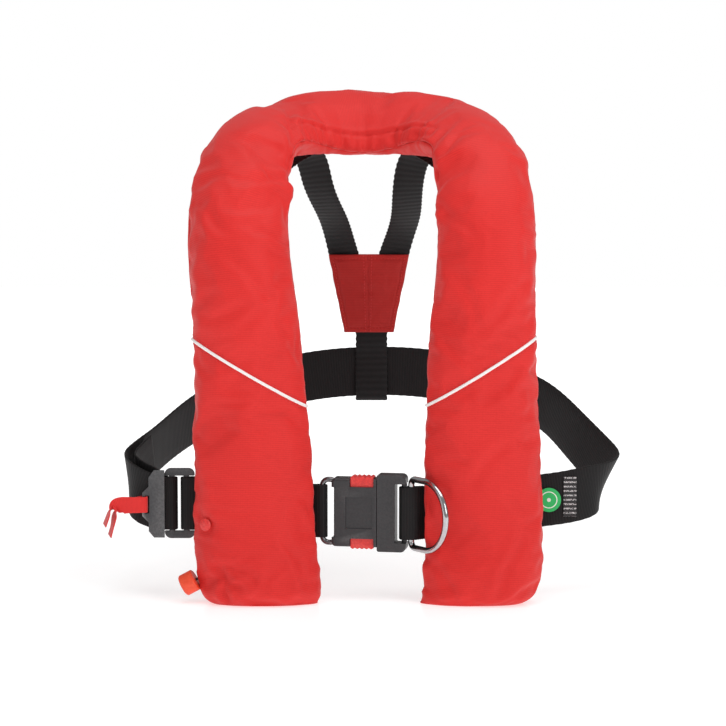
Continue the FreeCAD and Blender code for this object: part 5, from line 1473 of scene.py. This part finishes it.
keptNodes = {
    "buckle_ring": greySteel, "d_ring": brightSteel, "pull_knob": knobOrange, "pull_cord": stitchBlack,
    "press_stud_cap": buttonRed, "press_stud_socket": brightSteel,
    "approval_seal": sealGreen, "belt_label": labelDark,
    "bladder": yellowCoat, "inflator_body": darkPlastic, "manifold_stem": darkPlastic,
    "manual_lever": yellowPlastic, "lever_pin": brightSteel,
    "gas_cylinder": zincSteel, "water_cartridge": greenPlastic, "cartridge_cap": darkPlastic,
    "firing_pin": brightSteel, "firing_spring": brightSteel,
    "button_spring_top": darkPlastic, "button_spring_bottom": darkPlastic, "oral_tube": rubberBlack,
    "oral_tube_cap": rubberBlack, "oral_valve_poppet": yellowPlastic,
    "oral_valve_seat": yellowPlastic, "oral_valve_spring": brightSteel, "whistle": yellowPlastic,
}
for node, material in keptNodes.items():
    mesh = nodes[node].data
    mesh.materials.clear()
    mesh.materials.append(material)


# floor, lights and camera

stage = {"size": 6.0, "near": 0.35, "far": 1.3, "nearGlow": 0.5, "farGlow": 0.9, "worldLight": 0.38}
lights = {
    "softTop": ((0.2, -0.5, 2.0), (0, -0.1, 0.2), (1.8, 1.2), 19),
    "softLeft": ((-1.9, -1.2, 0.8), (0, -0.1, 0.25), (0.8, 1.4), 2),
    "softRight": ((1.5, -1.9, 1.1), (0, -0.1, 0.25), (0.8, 1.2), 14),
}


def buildStage():
    size = stage["size"]
    vertices = [(-size, -size, 0), (size, -size, 0), (size, size * 0.6, 0), (-size, size * 0.6, 0)]
    floor = showMesh("floor", vertices, [(0, 1, 2, 3)])
    material, tree, links, shader = startMaterial("floorWhite", (0.9, 0.9, 0.9), 0.2)
    shader.inputs["Emission Color"].default_value = (1, 1, 1, 1)
    floor.data.materials.append(material)
    tree = material.node_tree
    place = tree.nodes.new("ShaderNodeTexCoord")
    away = tree.nodes.new("ShaderNodeVectorMath")
    away.operation = "LENGTH"
    links.new(place.outputs["Object"], away.inputs[0])
    glow = tree.nodes.new("ShaderNodeMapRange")
    glow.inputs["From Min"].default_value = stage["near"]
    glow.inputs["From Max"].default_value = stage["far"]
    glow.inputs["To Min"].default_value = stage["nearGlow"]
    glow.inputs["To Max"].default_value = stage["farGlow"]
    links.new(away.outputs["Value"], glow.inputs["Value"])
    tone = tree.nodes.new("ShaderNodeCombineColor")
    for label in ("Red", "Green", "Blue"):
        links.new(glow.outputs[0], tone.inputs[label])
    links.new(tone.outputs[0], shader.inputs["Emission Color"])
    shader.inputs["Emission Strength"].default_value = 1.0
    speckle = addGroup(tree, clothShade, Broad_Scale=2.0, Fine_Scale=30.0, Amount=0.1)
    links.new(rangeTo(tree, speckle.outputs["Gloss"], 0.2, 0.26), shader.inputs["Roughness"])
    world = bpy.data.worlds.new("studio")
    bpy.context.scene.world = world
    world.use_nodes = True
    world.node_tree.nodes["Background"].inputs["Color"].default_value = (1, 1, 1, 1)
    tree = world.node_tree
    path = tree.nodes.new("ShaderNodeLightPath")
    power = tree.nodes.new("ShaderNodeMapRange")
    power.inputs["To Min"].default_value = stage["worldLight"]
    power.inputs["To Max"].default_value = 1.0
    tree.links.new(path.outputs["Is Camera Ray"], power.inputs["Value"])
    tree.links.new(power.outputs[0], tree.nodes["Background"].inputs["Strength"])


def areaLight(name, place, target, size, power):
    light = bpy.data.lights.new(name, "AREA")
    light.shape = "RECTANGLE"
    light.size, light.size_y = size
    light.energy = power
    lamp = bpy.data.objects.new(name, light)
    bpy.context.scene.collection.objects.link(lamp)
    lamp.location = place
    lamp.rotation_euler = (Vector(target) - Vector(place)).to_track_quat("-Z", "Y").to_euler()


view = {"target": (0, -0.089, 0.223), "distance": 2.8, "elevation": 6.0, "lens": 147.2}


def buildCamera():
    camera = bpy.data.cameras.new("camera")
    camera.sensor_width = 36
    camera.lens = view["lens"]
    camera.clip_end = 50
    eye = bpy.data.objects.new("camera", camera)
    bpy.context.scene.collection.objects.link(eye)
    e = math.radians(view["elevation"])
    target = Vector(view["target"])
    eye.location = target + Vector((0, -math.cos(e), math.sin(e))) * view["distance"]
    eye.rotation_euler = (target - eye.location).to_track_quat("-Z", "Y").to_euler()
    bpy.context.scene.camera = eye


buildStage()
for name, settings in lights.items():
    areaLight(name, *settings)
buildCamera()
bpy.context.scene.view_settings.view_transform = "Standard"
